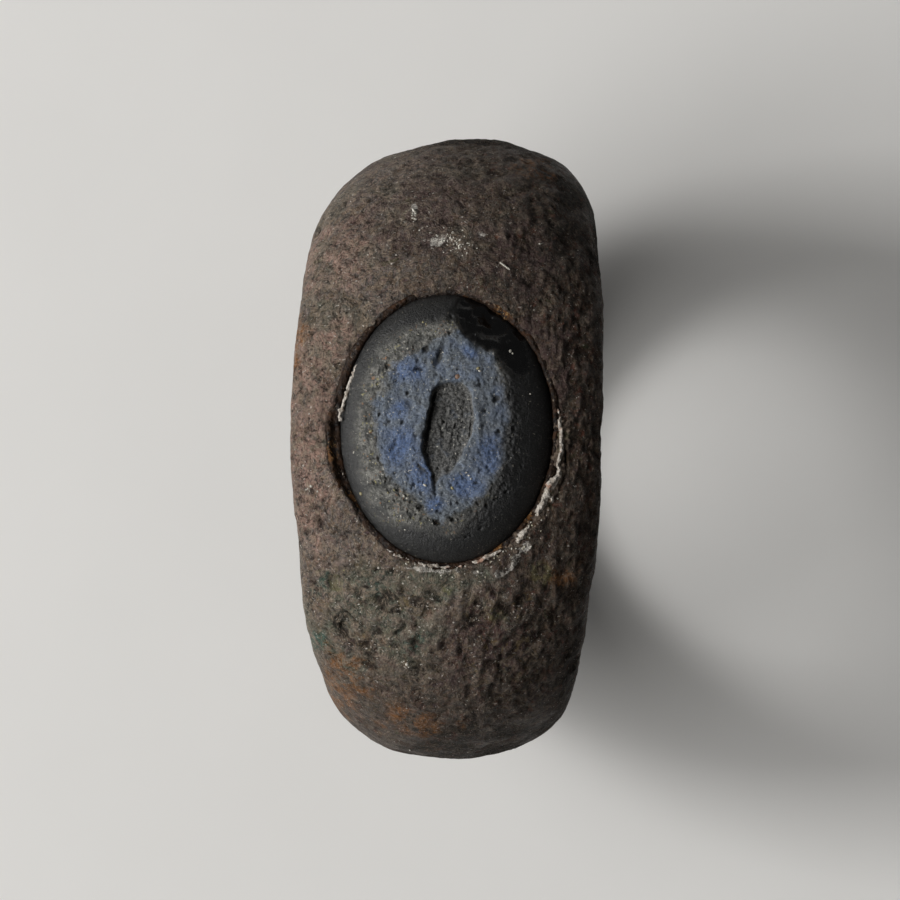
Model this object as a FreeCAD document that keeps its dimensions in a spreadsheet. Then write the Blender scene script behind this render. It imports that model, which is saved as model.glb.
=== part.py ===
# Finger ring with an engraved glass gem, as a parametric document.
#
# The ring is one iron band, widest at the bezel and narrow at the back, with a D-shaped section.
# An oval socket is sunk in the bezel. A layered glass gem lies in it on a bed of dark resin: a black
# body with a pale blue layer fused on top, and a worn standing figure cut down through the blue.
# Two stretches of the socket's lip are lost. One is filled with resin, the other with pale packing.
#
# Frame: the origin is the centre of the finger hole, +X runs along the finger, +Z points out of the
# bezel and +Y runs along the gem's long axis. Lengths are in millimetres.
import FreeCAD, Part
import math
import os
import Sketcher

Vector = FreeCAD.Vector
Rotation = FreeCAD.Rotation
Placement = FreeCAD.Placement

doc = FreeCAD.newDocument("intaglio_ring")

# Driving dimensions
sheet = doc.addObject("Spreadsheet::Sheet", "sizes")
DRIVING = [
    ("finger_hole", 18.0, "diameter of the finger hole"),
    ("shoulder_wall", 3.94, "band thickness at the shoulders, where the ring is broadest"),
    ("bezel_wall", 2.9, "band thickness at the bezel, before the socket is cut"),
    ("back_wall", 2.0, "band thickness at the back"),
    ("bezel_width", 12.7, "band width at the bezel"),
    ("back_width", 7.3, "band width at the back"),
    ("width_taper", 1.25, "how soon the band narrows from bezel to back"),
    ("profile_fullness", 2.3, "squareness of the side profile, where 2 is an ellipse"),
    ("edge_height", 0.68, "height of the band's widest line above the finger hole"),
    ("bezel_edge_rise", 0.63, "what the bezel adds to that height"),
    ("upper_lean", 0.45, "sideways lean of the upper shoulder"),
    ("upper_twist", 5.2, "twist of the upper shoulder's section, in degrees"),
    ("lower_twist", 4.5, "twist of the lower shoulder's section, in degrees"),
    ("upper_wear", 0.1, "what wear has taken off each side of the upper shoulder"),
    ("lower_wear", 0.47, "what wear has taken off each side of the lower shoulder"),
    ("socket_floor", 0.7, "metal left under the socket"),
    ("bed_depth", 0.25, "resin under the gem"),
    ("joint_gap", 0.15, "resin between the gem's edge and the socket's wall"),
    ("gem_long", 11.0, "gem length at its edge"),
    ("gem_wide", 8.75, "gem width at its edge"),
    ("gem_undercut", 0.45, "how far the gem's base is drawn in all round"),
    ("gem_edge_height", 1.15, "height of the gem's edge above its base"),
    ("gem_bevel", 1.25, "width of the bevel in plan"),
    ("gem_bevel_height", 0.9, "height of the bevel"),
    ("blue_edge", 0.15, "thickness of the blue layer at the rim of the face"),
    ("gem_dome", 0.3, "rise of the face over its rim"),
    ("resin_drop", 0.2, "how far the resin lies below the gem's edge"),
    ("lip_radius", 3.4, "radius of each broken stretch of the socket's lip"),
    ("lip_bite", 0.36, "how far each broken stretch reaches past the socket's wall"),
    ("lip_depth", 0.5, "depth of the broken stretches below the gem's edge"),
    ("packing_drop", 0.05, "how far the pale packing lies below the gem's edge"),
    ("figure_height", 6.7, "height of the engraved figure"),
    ("cut_depth", 0.7, "depth of the figure's deepest cut below the face"),
    ("hollow_reach", 1.0, "half length of the longest hollow that corrosion has eaten into the band"),
    ("hollow_depth", 0.25, "depth of the deepest of those hollows"),
]
for line, (alias, value, meaning) in enumerate(DRIVING, start=1):
    sheet.set(f"A{line}", alias)
    sheet.set(f"B{line}", str(value))
    sheet.set(f"C{line}", meaning)
    sheet.setAlias(f"B{line}", alias)
doc.recompute()

# Levels and half sizes that several pieces share, as expressions on the sheet
HOLE_RADIUS = "(sizes.finger_hole / 2)"
FLOOR_LEVEL = f"({HOLE_RADIUS} + sizes.socket_floor)"
BASE_LEVEL = f"({FLOOR_LEVEL} + sizes.bed_depth)"
EDGE_LEVEL = f"({BASE_LEVEL} + sizes.gem_edge_height)"
RIM_LEVEL = f"({EDGE_LEVEL} + sizes.gem_bevel_height)"
SEAM_LEVEL = f"({RIM_LEVEL} - sizes.blue_edge)"
FACE_LEVEL = f"({RIM_LEVEL} + sizes.gem_dome)"
RESIN_LEVEL = f"({EDGE_LEVEL} - sizes.resin_drop)"
LIP_LEVEL = f"({EDGE_LEVEL} - sizes.lip_depth)"
PACKING_LEVEL = f"({EDGE_LEVEL} - sizes.packing_drop)"
GEM_LONG = "(sizes.gem_long / 2)"
GEM_WIDE = "(sizes.gem_wide / 2)"
SOCKET_LONG = f"({GEM_LONG} + sizes.joint_gap)"
SOCKET_WIDE = f"({GEM_WIDE} + sizes.joint_gap)"
BORE_STOCK = 1.0    # metal that the finger hole cuts away inside the band
STATIONS = 12       # sections round the band
RESIN_LIP_ANGLE = 197.0     # where the lip is lost on the left, in degrees from +X
PALE_LIP_ANGLE = -40.0      # where the lip is lost at the lower right


def value(expression):
    """The number that an expression on the sheet gives now."""
    return float(sheet.evalExpression(expression))


def origin_plane(body, role):
    """One of the body's own origin planes."""
    return next(o for o in body.Origin.OriginFeatures if o.Role == role)


def add_sketch(body, name, role, offset=None, level=None):
    """An empty sketch on an origin plane, lifted to a level or set at an offset."""
    sketch = body.newObject("Sketcher::SketchObject", name)
    sketch.AttachmentSupport = [(origin_plane(body, role), "")]
    sketch.MapMode = "FlatFace"
    if offset is not None:
        sketch.AttachmentOffset = offset
    if level is not None:
        sketch.AttachmentOffset = Placement(Vector(0, 0, value(level)), Rotation())
        sketch.setExpression("AttachmentOffset.Base.z", level)
    return sketch


def bind(sketch, kind, expression, *where, angle=False):
    """Adds a dimension to a sketch and ties it to the sheet."""
    number = value(expression)
    index = sketch.addConstraint(
        Sketcher.Constraint(kind, *where, math.radians(number) if angle else number)
    )
    sketch.setExpression(f"Constraints[{index}]", expression + (" * 1 deg" if angle else ""))


def place_point(sketch, geometry, vertex, x, y):
    """Ties a point's distances from the sketch's origin to the sheet."""
    for axis, expression in (("DistanceX", x), ("DistanceY", y)):
        if expression == "0":
            kind = "PointOnObject"
            line = -2 if axis == "DistanceX" else -1
            sketch.addConstraint(Sketcher.Constraint(kind, geometry, vertex, line))
        else:
            bind(sketch, axis, expression, -1, 1, geometry, vertex)


def add_circle(sketch, radius, x="0", y="0"):
    """A circle with its radius and centre tied to the sheet."""
    circle = sketch.addGeometry(
        Part.Circle(Vector(value(x), value(y), 0), Vector(0, 0, 1), value(radius)), False
    )
    place_point(sketch, circle, 3, x, y)
    bind(sketch, "Radius", radius, circle)


def add_oval(sketch, half_x, half_y):
    """An upright ellipse about the sketch's origin, its long axis along Y."""
    long_half, short_half = value(half_y), value(half_x)
    oval = sketch.addGeometry(
        Part.Ellipse(Vector(0, long_half, 0), Vector(short_half, 0, 0), Vector(0, 0, 0)), False
    )
    sketch.exposeInternalGeometry(oval)
    long_axis, short_axis = oval + 1, oval + 2
    sketch.addConstraint(Sketcher.Constraint("Coincident", oval, 3, -1, 1))
    sketch.addConstraint(Sketcher.Constraint("Vertical", long_axis))
    bind(sketch, "Distance", f"2 * {half_y}", long_axis)
    bind(sketch, "Distance", f"2 * {half_x}", short_axis)


def finish_feature(feature, adds):
    """Recomputes and stops if a feature failed, or if its cut or its pad changed nothing."""
    doc.recompute()
    if {"Invalid", "Error"} & set(feature.State) or feature.Shape.isNull():
        raise RuntimeError(f"{feature.Name} failed")
    before = feature.BaseFeature.Shape.Volume if feature.BaseFeature else 0.0
    if (feature.Shape.Volume > before) != adds or feature.Shape.Volume == before:
        raise RuntimeError(f"{feature.Name} changed nothing")


def add_pocket(body, name, sketch, length, both_ways=False):
    """Cuts from the sketch's plane towards +Z, or both ways from it."""
    pocket = body.newObject("PartDesign::Pocket", name)
    pocket.Profile = sketch
    pocket.Type = "Length"
    pocket.Reversed = True
    pocket.Midplane = both_ways
    pocket.Length = value(length)
    pocket.setExpression("Length", length)
    finish_feature(pocket, adds=False)
    return pocket


def add_pad(body, name, sketch, length):
    """Fills from the sketch's plane towards +Z."""
    pad = body.newObject("PartDesign::Pad", name)
    pad.Profile = sketch
    pad.Type = "Length"
    pad.Length = value(length)
    pad.setExpression("Length", length)
    finish_feature(pad, adds=True)
    return pad


# The band's section at one station

def section_sizes(angle):
    """Sizes of the D-shaped section at this angle from the bezel towards +Y, as expressions."""
    across, up = math.sin(math.radians(angle)), math.cos(math.radians(angle))
    upper, lower = max(0.0, across) ** 2, max(0.0, -across) ** 2     # share of each shoulder
    taper = abs(math.cos(math.radians(angle / 2)))
    width_share = f"({taper:.6f} ^ sizes.width_taper)"
    wear = f"(sizes.upper_wear * {upper:.6f} + sizes.lower_wear * {lower:.6f})"
    top_wall = "sizes.bezel_wall" if up > 0 else "sizes.back_wall"
    power = "sizes.profile_fullness" if up > 0 else "2"
    crown = (
        f"(({abs(across):.6f} / ({HOLE_RADIUS} + sizes.shoulder_wall)) ^ {power}"
        f" + ({abs(up):.6f} / ({HOLE_RADIUS} + {top_wall})) ^ {power}) ^ (-1 / {power})"
    )
    edge = f"(sizes.edge_height + sizes.bezel_edge_rise * {max(0.0, up):.6f})"
    return {
        "half_width": f"((sizes.back_width + (sizes.bezel_width - sizes.back_width) * {width_share}) / 2"
        f" - {wear})",
        "rise": f"({crown} - {HOLE_RADIUS} - {edge})",
        "fall": f"({edge} + {BORE_STOCK})",
        "lean": f"(sizes.upper_lean * {upper:.6f})",
        "height": f"({HOLE_RADIUS} + {edge})",
        "twist": f"(sizes.upper_twist * {upper:.6f} + sizes.lower_twist * {lower:.6f})",
    }


def band_section(body, angle):
    """The section's sketch, in the plane that stands at this angle."""
    sketch = add_sketch(
        body,
        f"section_{angle:03.0f}",
        "XZ_Plane",
        offset=Placement(Vector(0, 0, 0), Rotation(Vector(1, 0, 0), -angle)),
    )
    draw_section(sketch, **section_sizes(angle))
    return sketch


def draw_section(sketch, half_width, rise, fall, lean, height, twist):
    """Two half ellipses on one long axis: the outer face above, the inner stock below."""
    centre = Vector(value(lean), value(height), 0)
    turn = Rotation(Vector(0, 0, 1), value(twist))
    side = centre + turn.multVec(Vector(value(half_width), 0, 0))
    halves = []
    for depth, start, end in ((rise, 0.0, math.pi), (fall, math.pi, 2 * math.pi)):
        above = centre + turn.multVec(Vector(0, value(depth), 0))
        ellipse = Part.Ellipse(side, above, centre)
        half = sketch.addGeometry(Part.ArcOfEllipse(ellipse, start, end), False)
        sketch.exposeInternalGeometry(half)
        halves.append(half)
    outer, inner = halves
    place_point(sketch, outer, 3, lean, height)
    sketch.addConstraint(Sketcher.Constraint("Coincident", inner, 3, outer, 3))
    bind(sketch, "Distance", f"2 * {half_width}", outer + 1)
    bind(sketch, "Distance", f"2 * {rise}", outer + 2)
    bind(sketch, "Distance", f"2 * {half_width}", inner + 1)
    bind(sketch, "Distance", f"2 * {fall}", inner + 2)
    for half in halves:
        long_axis = half + 1
        bind(sketch, "Angle", f"(180 + {twist})", long_axis, angle=True)
        for end in (1, 2):
            sketch.addConstraint(Sketcher.Constraint("PointOnObject", half, end, long_axis))


def lip_centre(angle):
    """Centre of a broken stretch of lip: its circle bites past the socket's wall at this angle."""
    across, along = math.cos(math.radians(angle)), math.sin(math.radians(angle))
    wall = f"(({abs(across):.6f} / {SOCKET_WIDE}) ^ 2 + ({abs(along):.6f} / {SOCKET_LONG}) ^ 2) ^ -0.5"
    reach = f"({wall} + sizes.lip_bite - sizes.lip_radius)"
    return f"({reach} * {across:.6f})", f"({reach} * {along:.6f})"


def add_lip_circle(body, name, angle):
    """The outline of a broken stretch of lip, at the depth it reaches."""
    sketch = add_sketch(body, name, "XY_Plane", level=LIP_LEVEL)
    add_circle(sketch, "sizes.lip_radius", *lip_centre(angle))
    return sketch


def add_socket_oval(body, name, level):
    """The socket's outline at a level."""
    sketch = add_sketch(body, name, "XY_Plane", level=level)
    add_oval(sketch, SOCKET_WIDE, SOCKET_LONG)
    return sketch


# Iron band

def make_forging():
    """The band: a closed loft round the finger hole, bored, with the socket sunk in its bezel."""
    body = doc.addObject("PartDesign::Body", "forging")
    sections = [band_section(body, 360.0 * n / STATIONS) for n in range(STATIONS)]
    doc.recompute()
    band = body.newObject("PartDesign::AdditiveLoft", "band")
    band.Profile = sections[0]
    band.Sections = sections[1:]
    band.Closed = True
    finish_feature(band, adds=True)

    hole = add_sketch(body, "finger_hole_outline", "YZ_Plane")
    add_circle(hole, HOLE_RADIUS)
    add_pocket(body, "finger_hole", hole, "2 * sizes.bezel_width", both_ways=True)

    above = "(2 * sizes.bezel_wall)"
    add_pocket(body, "socket", add_socket_oval(body, "socket_outline", FLOOR_LEVEL), above)
    for name, angle in (("resin_lip", RESIN_LIP_ANGLE), ("pale_lip", PALE_LIP_ANGLE)):
        add_pocket(body, name, add_lip_circle(body, f"{name}_outline", angle), above)
    return body


# Hollows that corrosion has eaten into the band: name, angle from the bezel towards +Y in degrees,
# place across as a share of the half width, half width and half length as shares of the longest
# hollow's, depth as a share of the deepest, and lean in degrees.
HOLLOWS = [
    ("left_pit", -32.4, -0.751, 0.48, 0.62, 0.90, 8.0),
    ("left_groove", -41.6, -0.693, 0.30, 0.70, 0.80, -16.0),
    ("edge_groove", -46.5, -0.874, 0.34, 0.85, 0.50, 50.0),
    ("ledge_groove", -36.2, -0.467, 0.66, 0.28, 0.44, 4.0),
    ("middle_groove", -39.2, -0.288, 0.30, 0.68, 0.64, 0.0),
    ("upper_groove", -35.9, -0.097, 0.32, 0.60, 0.48, -20.0),
    ("slant_groove", -43.6, -0.170, 0.28, 0.90, 0.56, -51.0),
    ("low_groove", -52.5, -0.468, 0.30, 0.66, 0.48, -8.0),
    ("front_groove", -53.3, 0.194, 0.34, 1.00, 0.48, -6.0),
    ("side_hollow", 1.9, -0.772, 0.48, 0.80, 0.48, 5.0),
    ("side_dip", -19.6, -0.831, 0.56, 0.48, 0.40, 0.0),
    ("right_groove", 44.9, 0.568, 0.34, 0.95, 0.44, 4.0),
    ("right_notch", -56.6, 0.953, 0.80, 0.60, 1.00, 0.0),
    ("left_notch", 52.0, -0.950, 0.66, 0.60, 0.64, 0.0),
    ("right_edge_pit", 0.3, 0.980, 0.60, 0.48, 0.72, 0.0),
]


def skin_place(angle, share, above):
    """A place over the band's skin as expressions, and the turn from +Z to the normal there."""
    size = section_sizes(angle)
    half_width, rise, twist = size["half_width"], size["rise"], size["twist"]
    upright = math.sqrt(1 - share ** 2)
    normal = Vector(share / value(half_width), upright / value(rise), 0).normalize()
    out = f"({share} * {half_width} + {normal.x:.6f} * {above})"
    up = f"({upright:.6f} * {rise} + {normal.y:.6f} * {above})"
    cosine, sine = f"cos({twist} * 1 deg)", f"sin({twist} * 1 deg)"
    radius = f"({size['height']} + {sine} * {out} + {cosine} * {up})"
    tilt = math.degrees(math.atan2(normal.x, normal.y)) - value(twist)
    where = (
        f"{size['lean']} + {cosine} * {out} - {sine} * {up}",
        f"{math.sin(math.radians(angle)):.6f} * {radius}",
        f"{math.cos(math.radians(angle)):.6f} * {radius}",
    )
    return where, Rotation(Vector(1, 0, 0), -angle) * Rotation(Vector(0, 1, 0), tilt)


def make_hoop():
    """The forging less its hollows, each the low part of an ellipsoid centred over the skin."""
    hollows = []
    for name, angle, share, half_x, half_y, depth, lean in HOLLOWS:
        deep = f"({depth} * sizes.hollow_depth)"
        where, turn = skin_place(angle, share, deep)
        hollows.append(
            add_ellipsoid(
                name,
                f"{half_x} * sizes.hollow_reach",
                f"{half_y} * sizes.hollow_reach",
                f"2 * {deep}",
                *where,
                turn * Rotation(Vector(0, 0, 1), lean),
            )
        )
    corrosion = doc.addObject("Part::MultiFuse", "corrosion")
    corrosion.Shapes = hollows
    return combine("Part::Cut", "hoop", make_forging(), corrosion)


# Glass gem

def level_ellipse(name, half_x, half_y, level):
    """A flat ellipse at a level, its long axis along Y."""
    ellipse = doc.addObject("Part::Ellipse", name)
    ellipse.setExpression("MajorRadius", half_y)
    ellipse.setExpression("MinorRadius", half_x)
    ellipse.Placement = Placement(Vector(0, 0, 0), Rotation(Vector(0, 0, 1), 90))
    ellipse.setExpression("Placement.Base.z", level)
    return ellipse


def level_loft(name, lower, upper):
    """A solid with straight sides from one ellipse to another."""
    loft = doc.addObject("Part::Loft", name)
    loft.Sections = [lower, upper]
    loft.Solid = True
    loft.Ruled = True
    return loft


def add_ellipsoid(name, half_x, half_y, half_z, x, y, z, turn=Rotation()):
    """A turned ellipsoid, with its sizes and its place tied to the sheet."""
    ball = doc.addObject("Part::Ellipsoid", name)
    ball.setExpression("Radius1", half_z)
    ball.setExpression("Radius2", half_x)
    ball.setExpression("Radius3", half_y)
    ball.Placement = Placement(Vector(0, 0, 0), turn)
    for axis, expression in (("x", x), ("y", y), ("z", z)):
        ball.setExpression(f"Placement.Base.{axis}", expression)
    return ball


def combine(kind, name, base, tool):
    """A boolean of two objects: Part::Cut, Part::Fuse or Part::Common."""
    result = doc.addObject(kind, name)
    result.Base = base
    result.Tool = tool
    return result


# The figure's cuts, as shares of its height from the gem's centre: name, centre x and y, half width,
# half length, depth as a share of the deepest cut, and lean in degrees.
FIGURE = [
    ("robe", 0.006, -0.010, 0.142, 0.275, 1.00, 1.0),
    ("robe_fold", 0.148, 0.060, 0.018, 0.110, 0.55, -3.0),
    ("head", -0.045, 0.433, 0.042, 0.090, 0.86, -4.0),
    ("neck", -0.022, 0.306, 0.033, 0.070, 0.66, -10.0),
    ("near_leg", -0.063, -0.336, 0.030, 0.134, 0.80, 4.0),
    ("far_leg", -0.120, -0.262, 0.024, 0.112, 0.60, 30.0),
    ("arm", -0.215, 0.118, 0.096, 0.020, 0.50, -42.0),
    ("forearm", -0.300, -0.112, 0.022, 0.080, 0.45, 28.0),
    ("staff", -0.172, 0.352, 0.038, 0.016, 0.48, -14.0),
]


def make_engraving():
    """The figure as one cutting shape, each stroke a wheel-cut hollow with a rounded bed."""
    strokes = []
    for name, x, y, half_x, half_y, depth, lean in FIGURE:
        strokes.append(
            add_ellipsoid(
                f"{name}_cut",
                f"{half_x} * sizes.figure_height",
                f"{half_y} * sizes.figure_height",
                f"{depth} * sizes.cut_depth",
                f"{x} * sizes.figure_height",
                f"{y} * sizes.figure_height",
                FACE_LEVEL,
                Rotation(Vector(0, 0, 1), lean),
            )
        )
    figure = doc.addObject("Part::MultiFuse", "figure")
    figure.Shapes = strokes
    return figure


def make_gem(engraving):
    """The black body and the blue layer, both cut by the same figure."""
    at = lambda share: (
        f"({GEM_WIDE} - sizes.gem_bevel * ({share}))",
        f"({GEM_LONG} - sizes.gem_bevel * ({share}))",
    )
    base = level_ellipse(
        "base_outline",
        f"({GEM_WIDE} - sizes.gem_undercut)",
        f"({GEM_LONG} - sizes.gem_undercut)",
        BASE_LEVEL,
    )
    edge = level_ellipse("edge_outline", GEM_WIDE, GEM_LONG, EDGE_LEVEL)
    seam_share = "1 - sizes.blue_edge / sizes.gem_bevel_height"
    seam = level_ellipse("seam_outline", *at(seam_share), SEAM_LEVEL)
    over_share = "1 + sizes.gem_dome / sizes.gem_bevel_height"
    over = level_ellipse("over_outline", *at(over_share), FACE_LEVEL)
    underside = level_loft("gem_underside", base, edge)
    bevel = level_loft("gem_bevel_sides", edge, seam)
    blank = combine("Part::Fuse", "black_blank", underside, bevel)
    body = combine("Part::Cut", "gem_body", blank, engraving)

    # The face is the top of an ellipsoid whose rim, at the rim's level, is the bevel's upper outline.
    depth = "(4 * sizes.gem_dome)"
    spread = "(1 - 0.75 ^ 2) ^ 0.5"
    rim_x, rim_y = at("1")
    dome = add_ellipsoid(
        "face_dome",
        f"{rim_x} / {spread}",
        f"{rim_y} / {spread}",
        depth,
        "0",
        "0",
        f"{FACE_LEVEL} - {depth}",
    )
    layer = combine("Part::Common", "blue_blank", level_loft("blue_sides", seam, over), dome)
    face = combine("Part::Cut", "gem_face", layer, engraving)
    return underside, body, face


# Resin bed and pale packing

def make_resin_bed(gem_underside):
    """Resin under the gem, up round its edge and into the lip lost on the left."""
    fill = doc.addObject("PartDesign::Body", "resin_fill")
    socket = add_socket_oval(fill, "resin_outline", FLOOR_LEVEL)
    add_pad(fill, "resin_in_socket", socket, f"{RESIN_LEVEL} - {FLOOR_LEVEL}")
    lip = add_lip_circle(fill, "resin_lip_fill_outline", RESIN_LIP_ANGLE)
    add_pad(fill, "resin_in_lip", lip, f"{RESIN_LEVEL} - {LIP_LEVEL}")
    return combine("Part::Cut", "resin_bed", fill, gem_underside)


def make_pale_packing():
    """Pale packing in the lip lost at the lower right: a crescent outside the socket's wall."""
    body = doc.addObject("PartDesign::Body", "pale_packing")
    lip = add_lip_circle(body, "packing_outline", PALE_LIP_ANGLE)
    add_pad(body, "packing_in_lip", lip, f"{PACKING_LEVEL} - {LIP_LEVEL}")
    socket = add_socket_oval(body, "packing_socket_outline", FLOOR_LEVEL)
    add_pocket(body, "packing_trim", socket, "(2 * sizes.bezel_wall)")
    return body


hoop = make_hoop()
figure = make_engraving()
gem_underside, gem_body, gem_face = make_gem(figure)
resin_bed = make_resin_bed(gem_underside)
pale_packing = make_pale_packing()
NODES = {
    "hoop": hoop,
    "resin_bed": resin_bed,
    "pale_packing": pale_packing,
    "gem_body": gem_body,
    "gem_face": gem_face,
}
for name, node in NODES.items():
    node.Label = name
doc.recompute()

failed = [o.Name for o in doc.Objects if {"Invalid", "Error"} & set(o.State)]
if failed:
    raise RuntimeError(f"these objects failed: {failed}")

os.makedirs("parts", exist_ok=True)
for name, node in NODES.items():
    shape = node.Shape
    if shape.isNull() or not shape.isValid() or len(shape.Solids) != 1:
        raise RuntimeError(f"{name} is not one valid solid")
    shape.exportStep(os.path.join("parts", f"{name}.step"))
    box = shape.BoundBox
    print(
        f"{name}: {len(shape.Solids)} solid(s), {shape.Volume:.2f} mm3,"
        f" {box.XLength:.2f} x {box.YLength:.2f} x {box.ZLength:.2f} mm"
    )
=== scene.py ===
# %% [markdown]
# # An old iron ring with an engraved glass gem
#
# This lesson dresses a small CAD model for the camera. The CAD part gives exact sizes: a heavy iron
# band, an oval socket in its bezel, a layered glass gem, and the resin and crust that hold it. What it
# lacks is age. Two thousand years in the ground have pitted the iron, worn the gem's figure nearly
# away and left grit in every hollow, and that is what we model here.
#
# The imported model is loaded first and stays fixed, so each new piece can be laid straight over the node
# that it stands for. Its box is kept too, because the dressed ring may not grow past it.

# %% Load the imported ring
import math
import random

import bmesh
import bpy
import numpy as np
from mathutils import Matrix, Vector, noise
from mathutils.bvhtree import BVHTree


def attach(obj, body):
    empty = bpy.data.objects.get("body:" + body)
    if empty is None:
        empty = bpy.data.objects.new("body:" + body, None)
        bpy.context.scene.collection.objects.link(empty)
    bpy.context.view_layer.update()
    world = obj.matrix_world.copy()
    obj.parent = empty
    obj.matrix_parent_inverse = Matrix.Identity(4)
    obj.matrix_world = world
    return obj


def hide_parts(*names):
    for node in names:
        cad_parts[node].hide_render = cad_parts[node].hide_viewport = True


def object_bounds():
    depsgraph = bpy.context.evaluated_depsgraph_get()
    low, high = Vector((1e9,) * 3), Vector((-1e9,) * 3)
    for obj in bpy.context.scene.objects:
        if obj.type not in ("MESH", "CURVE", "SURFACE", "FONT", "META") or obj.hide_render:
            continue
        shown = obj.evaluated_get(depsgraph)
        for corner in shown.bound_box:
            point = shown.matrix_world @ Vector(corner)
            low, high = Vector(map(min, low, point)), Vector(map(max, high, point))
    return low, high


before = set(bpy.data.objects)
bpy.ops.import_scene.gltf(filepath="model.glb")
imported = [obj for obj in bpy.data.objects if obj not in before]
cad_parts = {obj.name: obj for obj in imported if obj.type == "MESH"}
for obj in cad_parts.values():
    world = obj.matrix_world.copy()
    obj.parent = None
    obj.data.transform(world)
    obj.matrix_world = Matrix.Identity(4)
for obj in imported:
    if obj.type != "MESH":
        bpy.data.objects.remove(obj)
cad_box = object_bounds()
print("nodes:", sorted(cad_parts))

# %% [markdown]
# ## Working in millimetres
#
# The ring is 26 mm long, so in metres every number would start with 0.0. We shape each piece in
# millimetres and shrink the finished mesh to metres in one place. The frame stays the CAD's: the origin
# is the centre of the finger hole, X runs along the finger, Y along the gem, and Z out of the bezel.

# %% From a CAD node to a mesh in millimetres
MM = 0.001
TOUCHING = 1e-4


def in_scene(name, data):
    """A new object, put in the scene."""
    made = bpy.data.objects.new(name, data)
    bpy.context.scene.collection.objects.link(made)
    return made


def mesh_of_node(node):
    """A node's surface in millimetres, with its loose triangles joined up."""
    bm = bmesh.new()
    bm.from_mesh(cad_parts[node].data)
    bmesh.ops.scale(bm, vec=(1 / MM, 1 / MM, 1 / MM), verts=bm.verts)
    bmesh.ops.remove_doubles(bm, verts=bm.verts, dist=TOUCHING)
    return bm


def remeshed(bm, voxel):
    """The same solid in even quads. The voxel remesher also melts overlapping lumps into one skin."""
    mesh = bpy.data.meshes.new("work")
    bm.to_mesh(mesh)
    bm.free()
    work = in_scene("work", mesh)
    remesh = work.modifiers.new("remesh", "REMESH")
    remesh.mode = "VOXEL"
    remesh.voxel_size = voxel
    ready = work.evaluated_get(bpy.context.evaluated_depsgraph_get())
    result = bmesh.new()
    result.from_mesh(bpy.data.meshes.new_from_object(ready))
    bpy.data.objects.remove(work)
    return result


def make_piece(bm, name, node, material, values=None):
    """Shrinks a finished mesh to metres and makes it a piece of the ring."""
    bmesh.ops.scale(bm, vec=(MM, MM, MM), verts=bm.verts)
    mesh = bpy.data.meshes.new(name)
    bm.to_mesh(mesh)
    bm.free()
    mesh.shade_smooth()
    for key, numbers in (values or {}).items():
        layer = mesh.attributes.new(key, "FLOAT", "POINT")
        layer.data.foreach_set("value", np.asarray(numbers, np.float32))
    mesh.materials.append(material)
    piece = in_scene(name, mesh)
    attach(piece, "root")
    if node:
        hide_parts(node)
    print(f"{name}: {len(mesh.vertices)} points, {len(mesh.polygons)} faces")

# %% [markdown]
# ## Tools for shaping
#
# Corrosion isn't a formula, but it has a few habits: broad swells, grain that follows the forging, round
# pits, and local damage. Each of these is a height for every point of the mesh, and heights can be added
# up and then applied along the normals in one go. The two helpers below are the ones that we need most:
# a soft step, and random heights whose lumps have a size that we choose.

# %% Soft steps and spots

def soft(low, high, x):
    """0 at low, 1 at high, and smooth between. With low above high it runs the other way."""
    t = np.clip((np.asarray(x, float) - low) / (high - low), 0.0, 1.0)
    return t * t * (3 - 2 * t)


def turned(x, y, at, lean):
    """Places measured from a point, along axes that lean anticlockwise by some degrees."""
    c, s = math.cos(math.radians(lean)), math.sin(math.radians(lean))
    dx, dy = x - at[0], y - at[1]
    return dx * c + dy * s, dy * c - dx * s


def spot(x, y, at, half, lean=0.0, edge=1.0):
    """1 in the middle of an oval spot and 0 outside it."""
    u, v = turned(x, y, at, lean)
    return soft(1.0, 1.0 - edge, np.hypot(u / half[0], v / half[1]))

# %% Random heights, ridges and pits
NOISE_GAIN = 1.6  # Blender's noise seldom comes near 1, so it is stretched by this


def lumps(points, size, octaves=3, seed=0.0):
    """Random heights of about -1 to 1. The broadest lumps are about this size across."""
    shift = Vector((seed, 3.1 * seed, -1.7 * seed))
    heights = [noise.fractal(Vector(p) + shift, 1.0, 2.0, octaves) for p in points / size]
    return np.array(heights) * NOISE_GAIN


def grains(points, size, octaves=3, seed=0.0):
    """Rounded grains with sharp creases between them, about 0 on average."""
    return 2.2 * np.abs(lumps(points, size, octaves, seed)) - 0.62


def creases(points, size, width, seed=0.0):
    """Thin winding lines, 1 along each line: they run where a random height crosses zero."""
    return soft(width, 0.0, np.abs(lumps(points, size, 3, seed)))


def pits(points, size, share, seed=0.0):
    """Round pits in a random scatter, 1 deep in their middles. The share is how many cells have one."""
    reach, shuffle = 0.42, 37.0
    depth = []
    for p in points / size:
        near, places = noise.voronoi(Vector(p) + Vector((seed, seed, seed)))
        has_pit = noise.cell(places[0] * shuffle) * 0.5 + 0.5 < share
        depth.append(max(0.0, 1.0 - near[0] / reach) if has_pit else 0.0)
    return np.sqrt(np.array(depth))


def places_of(bm):
    return np.array([v.co[:] for v in bm.verts])


def raise_along_normals(bm, heights):
    """Moves each point out along its normal by its height."""
    bm.normal_update()
    moves = [v.normal * float(h) for v, h in zip(bm.verts, heights)]
    for v, move in zip(bm.verts, moves):
        v.co += move

# %% [markdown]
# ## Shader maths in plain sums
#
# A procedural material is arithmetic on noise. Written node by node it is long and hard to read, so one
# small class wraps an output socket, and `+ - *` on it add the Math nodes. Its `node` method makes any
# other node: settings first, then what goes into each socket, by name or by number.

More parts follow.
